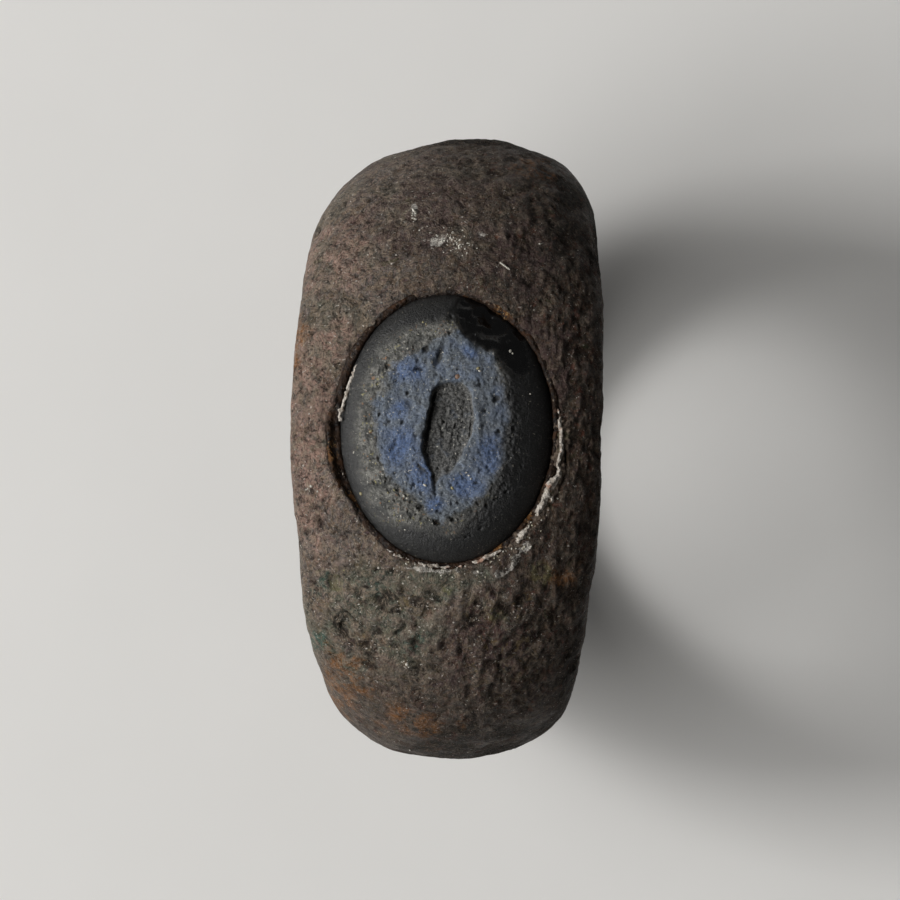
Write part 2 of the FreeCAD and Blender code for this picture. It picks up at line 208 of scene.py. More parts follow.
# %% A socket that can be used in sums
def feed(node, values):
    """Fills a node's sockets, by name or by number: a wire is linked, and anything else is set."""
    for key, value in values.items():
        if isinstance(value, Wire):
            value.tree.links.new(value.socket, node.inputs[key])
        else:
            node.inputs[key].default_value = value


class Wire:
    def __init__(self, tree, socket=None):
        self.tree, self.socket = tree, socket

    def node(self, kind, settings=None, inputs=None, out=0):
        made = self.tree.nodes.new(kind)
        for key, setting in (settings or {}).items():
            if key == "stops":
                set_stops(made.color_ramp, setting)
            else:
                setattr(made, key, setting)
        feed(made, inputs or {})
        return Wire(self.tree, made.outputs[out])

    def sum(self, operation, a, b):
        return self.node("ShaderNodeMath", {"operation": operation}, {0: a, 1: b})

    def __add__(self, other): return self.sum("ADD", self, other)
    def __radd__(self, other): return self.sum("ADD", other, self)
    def __sub__(self, other): return self.sum("SUBTRACT", self, other)
    def __rsub__(self, other): return self.sum("SUBTRACT", other, self)
    def __mul__(self, other): return self.sum("MULTIPLY", self, other)
    def __rmul__(self, other): return self.sum("MULTIPLY", other, self)

# %% Colours, blends and coats

def paint(code):
    """A colour as a painter would pick it on screen, turned into the linear values of a shader."""
    parts = [int(code[i:i + 2], 16) / 255 for i in (0, 2, 4)]
    return tuple(p / 12.92 if p <= 0.04045 else ((p + 0.055) / 1.055) ** 2.4 for p in parts) + (1.0,)


def set_stops(ramp, stops):
    """Each stop of a colour ramp is a position from 0 to 1 and a colour code."""
    while len(ramp.elements) < len(stops):
        ramp.elements.new(1.0)
    for element, (position, code) in zip(ramp.elements, stops):
        element.position, element.color = position, paint(code)


def blend(share, a, b):
    """Colour a where the share is 0 and b where it is 1. Each is a wire or a colour code."""
    a, b = (paint(colour) if isinstance(colour, str) else colour for colour in (a, b))
    return share.node("ShaderNodeMix", {"data_type": "RGBA"}, {0: share, 6: a, 7: b}, out=2)


def coated(colour, coats):
    """Lays coats over a colour one by one. Each is how much of it shows, from 0 to 1, and its colour."""
    for share, coat in coats:
        colour = blend(share, colour, coat)
    return colour


def by_value(value, *stops):
    """A colour that follows a value through some stops."""
    return value.node("ShaderNodeValToRGB", {"stops": stops}, {"Fac": value})

# %% Steps and textures as one-line calls

def step(value, low, high):
    """0 below low and 1 above high, with a smooth slope between."""
    return value.node(
        "ShaderNodeMapRange",
        {"interpolation_type": "SMOOTHSTEP"},
        {"Value": value, "From Min": low, "From Max": high},
    )


def stretched(place, by):
    """The same coordinates times a number for each axis. Below 1 draws a pattern out along that axis."""
    return place.node("ShaderNodeVectorMath", {"operation": "MULTIPLY"}, {0: place, 1: by})


def in_millimetres(wire, stretch=(1.0, 1.0, 1.0)):
    """Object coordinates in millimetres."""
    place = wire.node("ShaderNodeTexCoord", out="Object")
    return stretched(place, tuple(s / MM for s in stretch))


def grain(place, size, detail=3.0, roughness=0.55, distortion=0.0):
    """Noise whose lumps are about this size in millimetres, from 0 to 1 and mostly near 0.5."""
    return place.node(
        "ShaderNodeTexNoise",
        None,
        {"Vector": place, "Scale": 1.0 / size, "Detail": detail, "Roughness": roughness,
         "Distortion": distortion},
    )


def creased(noise_wire):
    """0 in sharp winding creases and up to 1 on the grains between them, made from a noise of 0 to 1."""
    signed = noise_wire * 2.0 - 1.0
    return signed.node("ShaderNodeMath", {"operation": "ABSOLUTE"}, {0: signed})


def painted(wire, keys):
    """The values that were painted on the mesh's points under these names."""
    return [wire.node("ShaderNodeAttribute", {"attribute_name": key}, out="Fac") for key in keys.split()]


def start_material(name):
    """An empty material: its principled shader, and a wire to grow nodes from."""
    material = bpy.data.materials.new(name)
    material.use_nodes = True
    tree = material.node_tree
    return material, Wire(tree), tree.nodes["Principled BSDF"]


def bump(height, size, strength=1.0):
    """A normal from a height of 0 to 1 that stands for this many millimetres."""
    return height.node(
        "ShaderNodeBump", None, {"Height": height, "Distance": size * MM, "Strength": strength}
    )

# %% [markdown]
# ## The iron
#
# Corroded iron isn't a metal any more to look at: the skin is oxide, so the shader isn't metallic. What
# makes it read as old iron is that its colour changes at every scale. Fine speckle sits on patches of
# purplish brown, green-grey and rust, the creases are darker, and worn ridges are paler and smoother.
# The patches and the relief are painted on the mesh's points, so colour and form agree, and the fine
# speckle comes from noise. Light and shade are painted in as well: the right side, the bottom and the
# back are painted in shade with darker copies of the colours, the rims darker still, and pale specks
# and streaks are painted glints.

# %% The corroded iron
RIPPLE_TURN = 0.84  # radians: the painted ripples run askew, as the sculpted ones do


def corroded_iron():
    material, start, shader = start_material("corroded_iron")
    place = in_millimetres(start)
    askew = place.node(
        "ShaderNodeVectorRotate", {"rotation_type": "Z_AXIS"}, {"Vector": place, "Angle": RIPPLE_TURN}
    )
    askew = stretched(askew, (1.0, 0.25, 1.0))
    rock = grain(place, 0.34, 7.0, 0.74, 0.3)
    fine = grain(place, 0.12, 3.0, 0.7)
    hue = grain(place, 0.80, 5.0, 0.72, 0.8)
    tint = grain(place, 0.42, 4.0, 0.7, 0.4)
    stain = grain(place, 0.65, 5.0, 0.72, 1.0)
    flow = grain(askew, 0.24, 4.0, 0.7)
    glint_streaks = grain(in_millimetres(start, (1.0, 0.35, 1.0)), 0.20, 4.0, 0.7)
    flaky = grain(in_millimetres(start, (1.0, 0.6, 1.0)), 0.55, 6.0, 0.62, 1.4)
    relief, dusk, violet, green, rust, olive = painted(start, "relief dusk violet green rust olive")
    mixed, rippled, teal, rosy, lime, moss = painted(start, "mixed rippled teal rosy lime moss")

    # lit and shaded copies of the colours: the painted shade mixes in the shaded ones
    lit = by_value(
        hue, (0.34, "6E5B5C"), (0.43, "816D59"), (0.51, "686561"), (0.58, "846F66"), (0.68, "6F6B52")
    )
    dim = by_value(
        hue, (0.34, "382A2D"), (0.43, "463525"), (0.51, "302D26"), (0.58, "4C3529"), (0.68, "383620")
    )
    rusty = rust * step(grain(place, 0.6, 5.0, 0.75), 0.42, 0.58)
    brown = mixed * (1.0 - 0.75 * green)
    patches = coated(blend(dusk, lit, dim), [
        (step(grain(place, 2.4, 3.0), 0.44, 0.60) * (1.0 - dusk) * 0.5, "716D5C"),
        (rosy * step(tint, 0.36, 0.60) * 0.80, "B18F80"),
        (violet * step(tint, 0.60, 0.44) * 0.75, "54403F"),
        # dark olive tone with painted shade on the rims
        (olive * 0.85, "211F18"),
        (green * step(tint, 0.30, 0.58) * 0.85, "6C7060"),
        (green * step(hue, 0.53, 0.64) * 0.75, "3C524B"),
        (rusty * 0.88, "87592E"),
        (rusty * step(tint, 0.50, 0.62) * 0.55, "AA743C"),
        (dusk * step(tint, 0.56, 0.66) * 0.7, "66392B"),
        (step(rock, 0.47, 0.38) * (0.75 - 0.15 * dusk), "261C15"),
        (brown * step(stain, 0.53, 0.62) * 0.55, "937D4C"),
        (brown * step(stain, 0.47, 0.39) * 0.60, "6A4038"),
        (mixed * step(grain(place, 0.5, 4.0, 0.7, 0.7), 0.55, 0.64) * 0.45, "5F6A5C"),
        (teal * step(tint, 0.42, 0.58) * 0.75, "41665A"),
    ])

    # pale grains and worn ridges are dulled where the shade is painted
    out_of_shade = 1.0 - 0.62 * dusk
    wrinkle = step(creased(flaky), 0.11, 0.02)
    crumbs = step(grain(place, 0.12, 4.0, 0.8, 0.8) + 0.20 * lime, 0.62, 0.67)
    # painted glints: tiny pale specks that stand in for highlights
    sparkle = grain(place, 0.11, 1.0, 0.5, 0.5) + 0.035 * mixed
    glint = step(sparkle, 0.68, 0.74) * step(tint, 0.42, 0.56)
    colour = coated(patches, [
        (step(rock, 0.54, 0.64) * out_of_shade * 0.55, "A69383"),
        # painted glints: pale streaks in the painted shade on the right
        (step(glint_streaks, 0.55, 0.66) * dusk * 0.4, "807068"),
        (rippled * step(flow, 0.53, 0.63) * 0.55, "8F8069"),
        (rippled * step(flow, 0.47, 0.38) * 0.50, "2E241E"),
        (step(fine, 0.46, 0.36) * (0.72 - 0.25 * dusk), "2A211C"),
        (step(fine, 0.56, 0.67) * out_of_shade * 0.55, "B8AA9C"),
        (step(relief, 0.42, 0.10) * 0.8, "211812"),
        (step(relief, 0.58, 0.92) * out_of_shade * 0.35, "9A887C"),
        (moss * step(tint + 0.4 * (fine - 0.5), 0.42, 0.60) * 0.6, "77724A"),
        (lime * 0.20, "8D8A84"),
        (crumbs * lime, "D8D2C8"),
        (wrinkle * step(rock, 0.42, 0.54) * out_of_shade * 0.6, "AA9884"),
        # painted glints
        (glint * (1.0 - 0.25 * dusk), "DAD2C6"),
    ])
    feed(shader, {
        "Base Color": colour,
        "Roughness": 0.44 + 0.20 * step(relief, 0.55, 0.2) + 0.16 * step(hue, 0.42, 0.58) + 0.2 * olive,
        "Specular IOR Level": 0.2,
        "Normal": bump(0.7 * rock + 0.3 * fine + 0.16 * wrinkle, 0.42),
    })
    return material


IRON = corroded_iron()
print("iron:", len(IRON.node_tree.nodes), "nodes")

# %% [markdown]
# ## The hoop's mesh
#
# The CAD hoop is long thin triangles, which can't be sculpted. The voxel remesher turns a merged copy of
# it into even quads. The bezel and the shoulders face the viewer, so there each face is divided into
# sixteen, and on the sides large ones are divided into four. Then every point is put back on the CAD
# surface, because the coarse voxels have blurred the hollows in it, and two rounds of smoothing soften the
# edges as wear does.

# %% Even quads, finer on the bezel
HOOP_VOXEL = 0.33
FINE_FROM, SIDES_FROM = 9.8, 9.6  # radius round the hole, past which faces are divided


def refine(bm, wanted, cuts, longer=0.0):
    """Divides the edges of each wanted face, where they are longer than this."""
    bm.normal_update()
    faces = [f for f in bm.faces if wanted(f.calc_center_median(), f.normal)]
    edges = {e for f in faces for e in f.edges if e.calc_length() > longer}
    bmesh.ops.subdivide_edges(bm, edges=list(edges), cuts=cuts, use_grid_fill=True)


def smoothed(bm, rounds):
    for _ in range(rounds):
        bmesh.ops.smooth_vert(
            bm, verts=bm.verts, factor=0.5, use_axis_x=True, use_axis_y=True, use_axis_z=True
        )


hoop_cad = mesh_of_node("hoop")
cad_skin = BVHTree.FromBMesh(hoop_cad)
hoop_bm = remeshed(hoop_cad, HOOP_VOXEL)
refine(hoop_bm, lambda at, normal: normal.z > 0.40 and math.hypot(at.y, at.z) > FINE_FROM, 3)
refine(hoop_bm, lambda at, normal: normal.z > -0.30 and math.hypot(at.y, at.z) > SIDES_FROM, 1, 0.25)
for v in hoop_bm.verts:
    v.co = cad_skin.find_nearest(v.co)[0]
smoothed(hoop_bm, 2)
hoop_at = places_of(hoop_bm)
print("hoop points:", len(hoop_at))

# %% [markdown]
# ## Sculpting the corrosion
#
# Heights are added up in the order that nature made them. Forged iron has a grain that runs round the
# band, so on the right side the noise is stretched along the arc, and near the upper right corner it runs
# askew in fine ripples. The left side is crumblier. Creases and pits come next, and then the dents,
# each with its place, its half sizes, its lean and its depth.

# %% Grain, creases and pits
ARC_RADIUS = 12.0
RIPPLE_LEAN = -48
across, along, up = hoop_at.T
radius = np.hypot(along, up)
arc = np.arctan2(along, up) * ARC_RADIUS
unrolled = np.stack([across, arc, radius], axis=1)
OUTSIDE = soft(9.25, 10.3, radius)
BEZEL = soft(1.0, 5.0, up)
hoop_bm.normal_update()
facing = 0.35 + 0.65 * soft(0.05, 0.55, np.array([v.normal.z for v in hoop_bm.verts]))
right = soft(-3.0, 3.0, across)
torn = BEZEL * np.maximum(
    spot(across, along, (-2.6, -7.6), (5.0, 3.8)),
    0.8 * spot(across, along, (1.9, -8.4), (4.0, 3.8)),
)
calm = BEZEL * np.maximum(
    spot(across, along, (5.9, 9.4), (2.0, 4.2)),
    spot(across, along, (0.5, -13.2), (7.5, 1.9)),
)
rippled = BEZEL * spot(across, along, (2.3, 10.0), (2.6, 2.2))
askew = np.stack([*turned(across, arc, (0, 0), RIPPLE_LEAN), radius], axis=1)
swell = lumps(hoop_at, 5.5, 2, 4.0)
knobs = lumps(hoop_at, 0.95, 4, 9.0)
crumbs = lumps(hoop_at, 0.42, 3, 2.0)
streaks = grains(unrolled * (1.0, 0.5, 1.0), 0.42, 3, 6.0)
ripples = grains(askew * (1.0, 0.22, 1.0), 0.55, 2, 7.0)
cracked = soft(-0.1, 0.4, lumps(hoop_at, 2.2, 2, 15.0))
cracks = creases(unrolled * (1.0, 0.55, 1.0), 1.1, 0.12, 13.0) * cracked
frayed = np.stack([lumps(hoop_at, 0.40, 3, s) for s in (71.0, 72.0, 73.0)], axis=1)
holes = pits(hoop_at + 0.10 * frayed, 0.50, 0.40, 3.0)
relief = (1 - 0.65 * calm) * (
    0.034 * crumbs * (1 - 0.4 * right)
    + 0.035 * streaks * right * (1 - rippled)
    + 0.040 * ripples * rippled
    + 0.046 * knobs
    - 0.035 * cracks
    - 0.055 * holes
)
flaked = 0.065 * knobs + 0.05 * grains(hoop_at, 1.1, 4, 17.0) - 0.05 * creases(hoop_at, 2.0, 0.12, 23.0)
relief = (relief + torn * flaked) * facing
print(f"relief {relief.min():.3f} to {relief.max():.3f} mm")

# %% Dents and swellings with a place of their own
DENTS = [
    # x, y, half width, half length, lean, depth
    (-5.55, -6.40, 0.32, 0.42, 0, 0.10),
    (-5.00, -7.65, 0.12, 0.45, 10, 0.08),
    (-4.17, -7.98, 0.10, 0.45, -16, 0.10),
    (-1.85, -8.04, 0.11, 0.48, 0, 0.10),
    (-1.32, -7.93, 0.10, 0.40, -20, 0.08),
    (-2.57, -5.35, 0.10, 0.34, 0, 0.07),
    (-1.10, -8.85, 0.09, 0.70, -51, 0.07),
    (-0.14, -7.04, 0.24, 0.26, 0, 0.10),
    (-2.40, -6.60, 0.12, 0.60, 50, 0.06),
    (-4.98, 1.75, 0.34, 0.45, 0, 0.10),
    (-5.10, -2.30, 0.35, 0.50, -10, 0.07),
    (-5.35, 4.60, 0.55, 0.30, 10, 0.08),
    (2.20, -9.20, 0.22, 0.90, -4, 0.08),
    (1.90, -10.80, 0.20, 0.70, 12, 0.07),
    (4.10, 5.60, 0.24, 0.60, 12, 0.07),
    (-3.30, 8.20, 0.32, 0.28, 0, 0.08),
    (-2.40, 9.60, 0.36, 0.24, 30, 0.08),
    (-0.60, 11.20, 0.50, 0.22, 12, 0.08),
    (6.60, 7.60, 1.40, 2.20, 0, 0.18),
    (-1.60, 12.90, 2.20, 1.20, 0, 0.08),
    (0.90, 13.00, 6.00, 2.00, 0, 0.12),
    (3.70, 12.70, 1.60, 1.20, 0, 0.10),
    (6.00, -6.60, 1.20, 1.20, 0, 0.06),
    (2.90, -13.00, 2.60, 0.90, 0, 0.16),
]
SWELLINGS = [
    (4.60, -11.20, 1.90, 1.30, 30, 0.12),
    (-2.60, -12.60, 2.20, 1.00, 0, 0.10),
    (6.50, 1.20, 1.60, 2.80, 0, 0.10),
    (-2.61, -7.86, 0.62, 0.48, 0, 0.07),
    (-1.20, -6.90, 0.55, 0.90, -30, 0.06),
    (-4.45, -7.20, 0.50, 0.34, 30, 0.06),
    (-4.60, -5.55, 0.70, 0.30, 0, 0.04),
]
damage = np.zeros(len(hoop_at))
above = soft(-6.0, 0.0, up)
frayed_x, frayed_y = across + 0.13 * frayed[:, 0], along + 0.13 * frayed[:, 1]
for x, y, half_x, half_y, lean, depth in DENTS:
    damage -= depth * spot(frayed_x, frayed_y, (x, y), (half_x, half_y), lean) * above
for x, y, half_x, half_y, lean, height in SWELLINGS:
    damage += height * spot(across, along, (x, y), (half_x, half_y), lean) * above
heights = OUTSIDE * (0.10 * swell + relief + damage) + (1 - OUTSIDE) * 0.012 * knobs
raise_along_normals(hoop_bm, heights)
print(f"dents: {len(DENTS)}, deepest {damage.min():.2f} mm")

# %% [markdown]
# ## Painting the patches
#
# Each patch of colour is an oval spot with a ragged edge: the spot's own falloff plus noise, cut by a
# soft step. Far from the bezel nothing is known of the real ring, so there the patches come from noise
# alone. The relief is painted too, from the same heights that shaped the surface.

# %% Painted shade, and patches of green, rust, olive and lime
drift = lumps(hoop_at, 1.6, 4, 21.0)


def patch(*spots, ragged=0.5):
    """The union of some spots on the bezel's side, with ragged edges."""
    share = np.zeros(len(hoop_at))
    for at, half, lean in spots:
        share = np.maximum(share, spot(across, along, at, half, lean))
    share = share + ragged * (drift - 0.1) * (share > 0)
    return soft(0.20, 0.70, share) * soft(-7.0, -1.0, up) * OUTSIDE


BACK = soft(1.0, -6.0, up) * OUTSIDE
LIT = soft(-9.0, 0.0, up)
hoop_values = {
    "relief": np.clip(0.5 + (relief + 0.6 * damage) / 0.26, 0, 1),
    # painted shade: the iron darker towards the right, the bottom and the back, away from the light
    "dusk": np.maximum.reduce([
        0.9 * soft(-4.2, 3.6, across + 0.9 * drift) * LIT,
        soft(2.5, 5.5, across + 0.5 * drift + 0.12 * along) * LIT,
        0.72 * soft(-7.8, -11.5, along + 0.8 * drift) * LIT,
        0.4 * soft(10.4, 12.6, along + 0.5 * drift) * LIT,
        0.45 * BACK,
    ]) * (1 - 0.85 * spot(across, along, (0.2, -6.7), (3.6, 2.1))),
    "violet": patch(
        ((-0.5, 9.0), (4.0, 3.6), 0), ((2.5, 7.0), (3.0, 2.4), 0), ((4.3, 1.0), (1.6, 6.0), 0),
        ((1.5, -9.0), (3.5, 2.6), 0),
    ),
    "green": np.maximum(
        patch(((-3.0, -7.5), (4.8, 3.2), 8), ((-5.3, 5.1), (1.3, 0.8), 0), ((-0.2, -6.5), (2.4, 1.3), 0)),
        BACK * soft(0.25, 0.7, lumps(hoop_at, 4.0, 3, 31.0)),
    ),
    "rust": np.maximum(
        patch(((-4.5, -10.2), (3.0, 2.4), 20), ((-6.1, 4.0), (1.0, 2.4), 0), ((-1.6, -11.7), (2.4, 1.3), 0),
              ((4.9, -6.2), (1.4, 1.2), 0), ((3.6, 11.2), (1.2, 0.9), 0)),
        BACK * soft(0.15, 0.6, lumps(hoop_at, 3.0, 3, 41.0)),
    ),
    # dark olive tone with painted shade along the rims, and the inside of the hole
    "olive": np.maximum(
        patch(((5.7, 9.6), (2.3, 4.4), 0), ((0.6, -13.2), (6.8, 2.4), 0), ((5.2, -10.8), (2.4, 2.4), 0),
              ((0.8, 13.2), (5.0, 1.3), 0)),
        1 - OUTSIDE,
    ),
    "mixed": torn * (1 - 0.5 * spot(across, along, (-4.5, -10.4), (2.6, 2.2))),
    "rippled": rippled,
    "teal": patch(
        ((-5.2, -8.4), (0.9, 0.9), 0), ((-5.4, -6.5), (0.6, 0.8), 0), ((-1.4, -8.6), (0.8, 0.4), 40),
    ),
    "rosy": patch(((-5.4, 0.5), (2.6, 8.5), 0), ((-4.6, 7.0), (2.8, 3.0), 0)),
    "lime": patch(
        ((0.35, 7.95), (1.35, 0.90), -12), ((-1.35, 9.2), (0.35, 0.55), 0), ((3.1, -4.8), (1.7, 0.40), 48),
        ((-0.9, -5.75), (2.4, 0.14), -4), ragged=0.9,
    ),
    "moss": patch(
        ((-0.1, -6.6), (0.7, 0.5), 0), ((1.9, -7.4), (1.1, 0.6), -15), ((-4.5, -6.2), (0.4, 0.4), 0),
        ((3.9, -6.0), (0.8, 0.8), 0),
    ),
}
hoop_surface = BVHTree.FromBMesh(hoop_bm)
make_piece(hoop_bm, "iron_hoop", "hoop", IRON, hoop_values)

# %% [markdown]
# ## The gem's form
#
# The gem is black glass under a thin blue layer, ground to an oval with a soft bevel. Its face is
# modelled as a height over the plane of the ring: a bevel that rises from the edge, a nearly flat dome
# in the middle, and then everything that was taken away, which is the figure, the pits and one chip.
# Both layers read the same heights, so they fit each other exactly.

# %% The ground surface, before anything was cut
GEM_HALF = (4.375, 5.5)
GEM_EDGE = 11.1
FACE_RIM = 12.04
DOME, DOME_HALF = 0.21, (3.2, 4.4)


def flat_lumps(x, y, size, octaves, seed):
    """Random heights over the plane of the ring."""
    return lumps(np.stack([x, y, 0 * x], axis=1), size, octaves, seed)


def wandering(x, y, amount, size, octaves, seed):
    """Places pushed about at random, so what is drawn at them has a wandering edge."""
    move_x = amount * flat_lumps(x, y, size, octaves, seed)
    move_y = amount * flat_lumps(x, y, size, octaves, seed + 1.0)
    return x + move_x, y + move_y


def ground_surface(x, y):
    """Height of the gem's top as it left the grinder."""
    out = np.hypot(x / GEM_HALF[0], y / GEM_HALF[1])
    from_middle = np.hypot(x, y)
    inward = from_middle * (1 / np.maximum(out, 1e-6) - 1)
    inward = np.where(out < 0.05, 5.0, inward)
    width = 1.62 + 0.25 * x / np.maximum(from_middle, 1e-6)
    rise = np.clip(inward / width, 0, 1)
    bevel = (1 - (1 - rise) ** 2.1) ** 0.78
    dome = DOME * np.clip(1 - (x / DOME_HALF[0]) ** 2 - (y / DOME_HALF[1]) ** 2, 0, 1)
    return GEM_EDGE + (FACE_RIM - GEM_EDGE) * bevel + dome, rise

# %% [markdown]
# The figure is a plain standing one, draped and with a staff, which is among the commonest subjects of
# such gems. Wear has left little more than its robe, a flat-bottomed trough that is steepest and deepest
# on the left, with the head above it and the legs tapering out below. The robe is drawn by its left and
# right edges at several heights. The finer strokes of the cutter's wheel are ovals, each with a place, half
# sizes, a lean and a depth.

# %% The figure's strokes
ROBE_ROWS = [
    # y, left edge, right edge
    (-3.00, -0.54, -0.42), (-2.30, -0.62, -0.30), (-1.95, -0.74, 0.13), (-1.50, -0.92, 0.56),
    (-1.00, -1.05, 0.82), (-0.30, -0.99, 1.05), (0.40, -0.86, 1.13), (1.10, -0.71, 1.10),
    (1.55, -0.58, 0.98), (1.80, -0.34, 0.76),
]
STROKES = [
    # x, y, half width, half length, lean, depth
    (-0.28, 2.90, 0.24, 0.80, -17, 0.17),
    (-0.10, 2.05, 0.30, 0.40, -10, 0.07),
    (-1.60, 0.92, 0.26, 0.80, 48, 0.07),
    (-2.15, -0.78, 0.16, 0.50, -20, 0.08),
    (-0.98, -1.75, 0.15, 0.60, 38, 0.09),
    (-1.10, 2.35, 0.13, 0.34, 92, 0.15),
    (0.95, -1.90, 0.50, 0.22, 35, 0.06),
]
FOLD_HALF = 0.16
FOLDS = [
    # x, y, half length, lean, depth
    (-0.12, 0.10, 1.30, -6, 0.05), (0.26, -0.10, 1.45, -4, 0.04), (0.62, 0.25, 1.10, -8, 0.05),
]
RIM = ((1.30, 0.30), (0.17, 1.20), 2, 0.05)


def hump(low, high, x):
    """0 outside a range, and up to 1 in its middle."""
    return np.clip(1 - ((2 * x - low - high) / (high - low)) ** 2, 0, 1)


def carved(x, y):
    """Depth of the robe's recess with its trench and folds, and depth of the finer strokes."""
    x, y = wandering(x, y, 0.06, 0.6, 3, 51.0)
    rows, lefts, rights = np.array(ROBE_ROWS).T
    from_left, from_right = x - np.interp(y, rows, lefts), np.interp(y, rows, rights) - x
    ends = soft(2.02, 1.55, y) * soft(-3.15, -2.75, y)
    deepest = 0.17 + 0.14 * soft(-2.2, -0.4, y)
    robe = deepest * soft(0.0, 0.14, from_left) * soft(-0.04, 0.26, from_right) * ends
    trench = 0.24 * (0.20 + 0.80 * soft(-1.6, 0.1, y)) * soft(1.75, 1.25, y)
    robe = robe + trench * hump(0.0, 0.28, from_left) * ends
    robe = robe + 0.16 * hump(-0.02, 0.17, from_right) * soft(-0.7, -0.2, y) * soft(1.6, 1.1, y)
    for cx, cy, half_y, lean, deep in FOLDS:
        robe = robe + soft(0.10, 0.28, robe) * deep * spot(x, y, (cx, cy), (FOLD_HALF, half_y), lean)
    strokes = np.zeros_like(x)
    for cx, cy, half_x, half_y, lean, deep in STROKES:
        strokes = np.maximum(strokes, deep * spot(x, y, (cx, cy), (half_x, half_y), lean))
    return robe, strokes

# %% [markdown]
# Then the accidents. The dark pits on the face are burst bubbles in the glass. At the upper right a shell
# of glass has sprung off the edge: that scar is crisp, smooth and much blacker than the worn glass round
# it, and it slopes outward, so no light from the left reaches it. The pits that stand out in the photo are
# listed one by one, and small ones are scattered between them, most thickly at the lower left.

# %% Pits and the scar
PITS = [
    # x, y, radius, depth
    (-0.83, 3.17, 0.20, 0.15), (-2.43, 2.48, 0.19, 0.13), (-1.60, 1.37, 0.15, 0.12),
    (-2.73, 0.51, 0.14, 0.12), (-2.40, 0.20, 0.12, 0.10), (-1.80, 0.20, 0.14, 0.10),
    (-1.04, -3.32, 0.19, 0.14), (-0.37, -3.90, 0.22, 0.16), (0.25, -3.82, 0.12, 0.11),
    (0.48, -3.76, 0.10, 0.09), (1.31, 1.70, 0.14, 0.11), (2.03, 1.13, 0.22, 0.13),
    (1.55, 0.65, 0.13, 0.10), (2.10, -0.20, 0.13, 0.10), (0.52, -1.60, 0.12, 0.09),
    (0.46, 2.06, 0.17, 0.08), (-1.35, -2.40, 0.16, 0.11), (-2.10, -1.90, 0.14, 0.10),
    (1.20, -2.30, 0.13, 0.10), (1.62, -3.20, 0.12, 0.09),
]
SMALL_PITS, LOWER_LEFT_SHARE = 260, 0.40
rng = random.Random(11)
for _ in range(SMALL_PITS):
    if rng.random() < LOWER_LEFT_SHARE:
        cx, cy = rng.gauss(-1.3, 1.0), rng.gauss(-2.9, 0.9)
    else:
        cx, cy = rng.uniform(-3.7, 3.1), rng.uniform(-4.6, 4.6)
    if math.hypot(cx / 3.7, cy / 4.7) < 1:
        PITS.append((cx, cy, rng.uniform(0.05, 0.11), rng.uniform(0.04, 0.09)))
SCAR_CURVE = 1.25
SCAR = [((1.75, 4.35), (1.85, 1.40), -38, 0.62), ((2.70, 3.05), (1.35, 0.88), -52, 0.32)]


def pitted(x, y):
    """Depth of the pits, whose edges wander a little."""
    x, y = wandering(x, y, 0.05, 0.16, 2, 36.0)
    depth = np.zeros_like(x)
    for cx, cy, size, deep in PITS:
        depth = np.maximum(depth, deep * spot(x, y, (cx, cy), (size, size), edge=0.8))
    return depth


def chipped(x, y):
    """The scar: a shell-shaped floor that falls away to the gem's rim."""
    wander = 0.10 * flat_lumps(x, y, 0.55, 3, 33.0)
    depth = np.zeros_like(x)
    for at, half, lean, deep in SCAR:
        u, v = turned(x, y, at, lean)
        out = np.hypot(u / half[0], v / half[1]) + wander
        depth = np.maximum(depth, deep * np.clip(1 - out, 0, 1) ** SCAR_CURVE)
    return depth

# %% [markdown]
# The blue layer is thin, and it feathers out to nothing, crisply on the right and in tatters at the lower
# left. Its thickness is a field of its own, and the carving takes from it: where more is cut away than
# there is blue, the black glass shows, which is how such gems get their contrast.

# %% The blue layer's thickness, and all heights together
BLUE_ROWS = [
    # y, left edge, right edge
    (-4.20, 0.10, -0.40), (-3.75, -0.42, -0.10), (-3.50, -0.70, 0.35), (-3.20, -1.00, 1.05),
    (-2.80, -1.45, 1.55), (-2.40, -2.00, 1.92), (-1.90, -2.60, 2.15), (-1.40, -2.88, 2.28),
    (-0.60, -2.98, 2.38), (0.20, -2.95, 2.48), (1.00, -2.90, 2.50), (1.50, -2.42, 2.42),
    (2.20, -2.48, 2.15), (2.70, -2.15, 1.95), (3.20, -1.10, 1.65), (3.70, -0.25, 1.15),
    (4.10, 0.60, 0.20),
]
DEEP_BLUE = [
    # x, y, half width, half length, lean: where the blue is strongest
    (-1.60, 2.30, 1.10, 0.85, -20), (-1.90, 0.70, 0.80, 0.50, 40), (-2.00, -0.90, 1.25, 1.30, 0),
    (-1.05, -2.00, 0.85, 1.25, 38), (-0.45, -3.15, 0.80, 0.60, 0), (1.80, -1.15, 1.00, 1.20, -12),
    (0.85, -2.45, 1.20, 0.85, -35), (0.95, 3.05, 0.60, 0.40, -35),
]


def blue_left(x, y, taken):
    """Thickness of blue glass left on the black. Below 0 it is gone."""
    rows, lefts, rights = np.array(BLUE_ROWS).T
    inside = np.minimum(x - np.interp(y, rows, lefts), np.interp(y, rows, rights) - x)
    layer = 0.38 * (inside + 0.10)
    tatters = 0.085 * flat_lumps(x, y, 0.9, 4, 5.0) + 0.04 * flat_lumps(x, y, 0.25, 3, 25.0)
    tatters = tatters * (0.4 + 0.6 * soft(2.4, -0.5, x))
    return np.clip(layer, -0.3, 0.20) + tatters - np.maximum(taken - 0.03, 0)


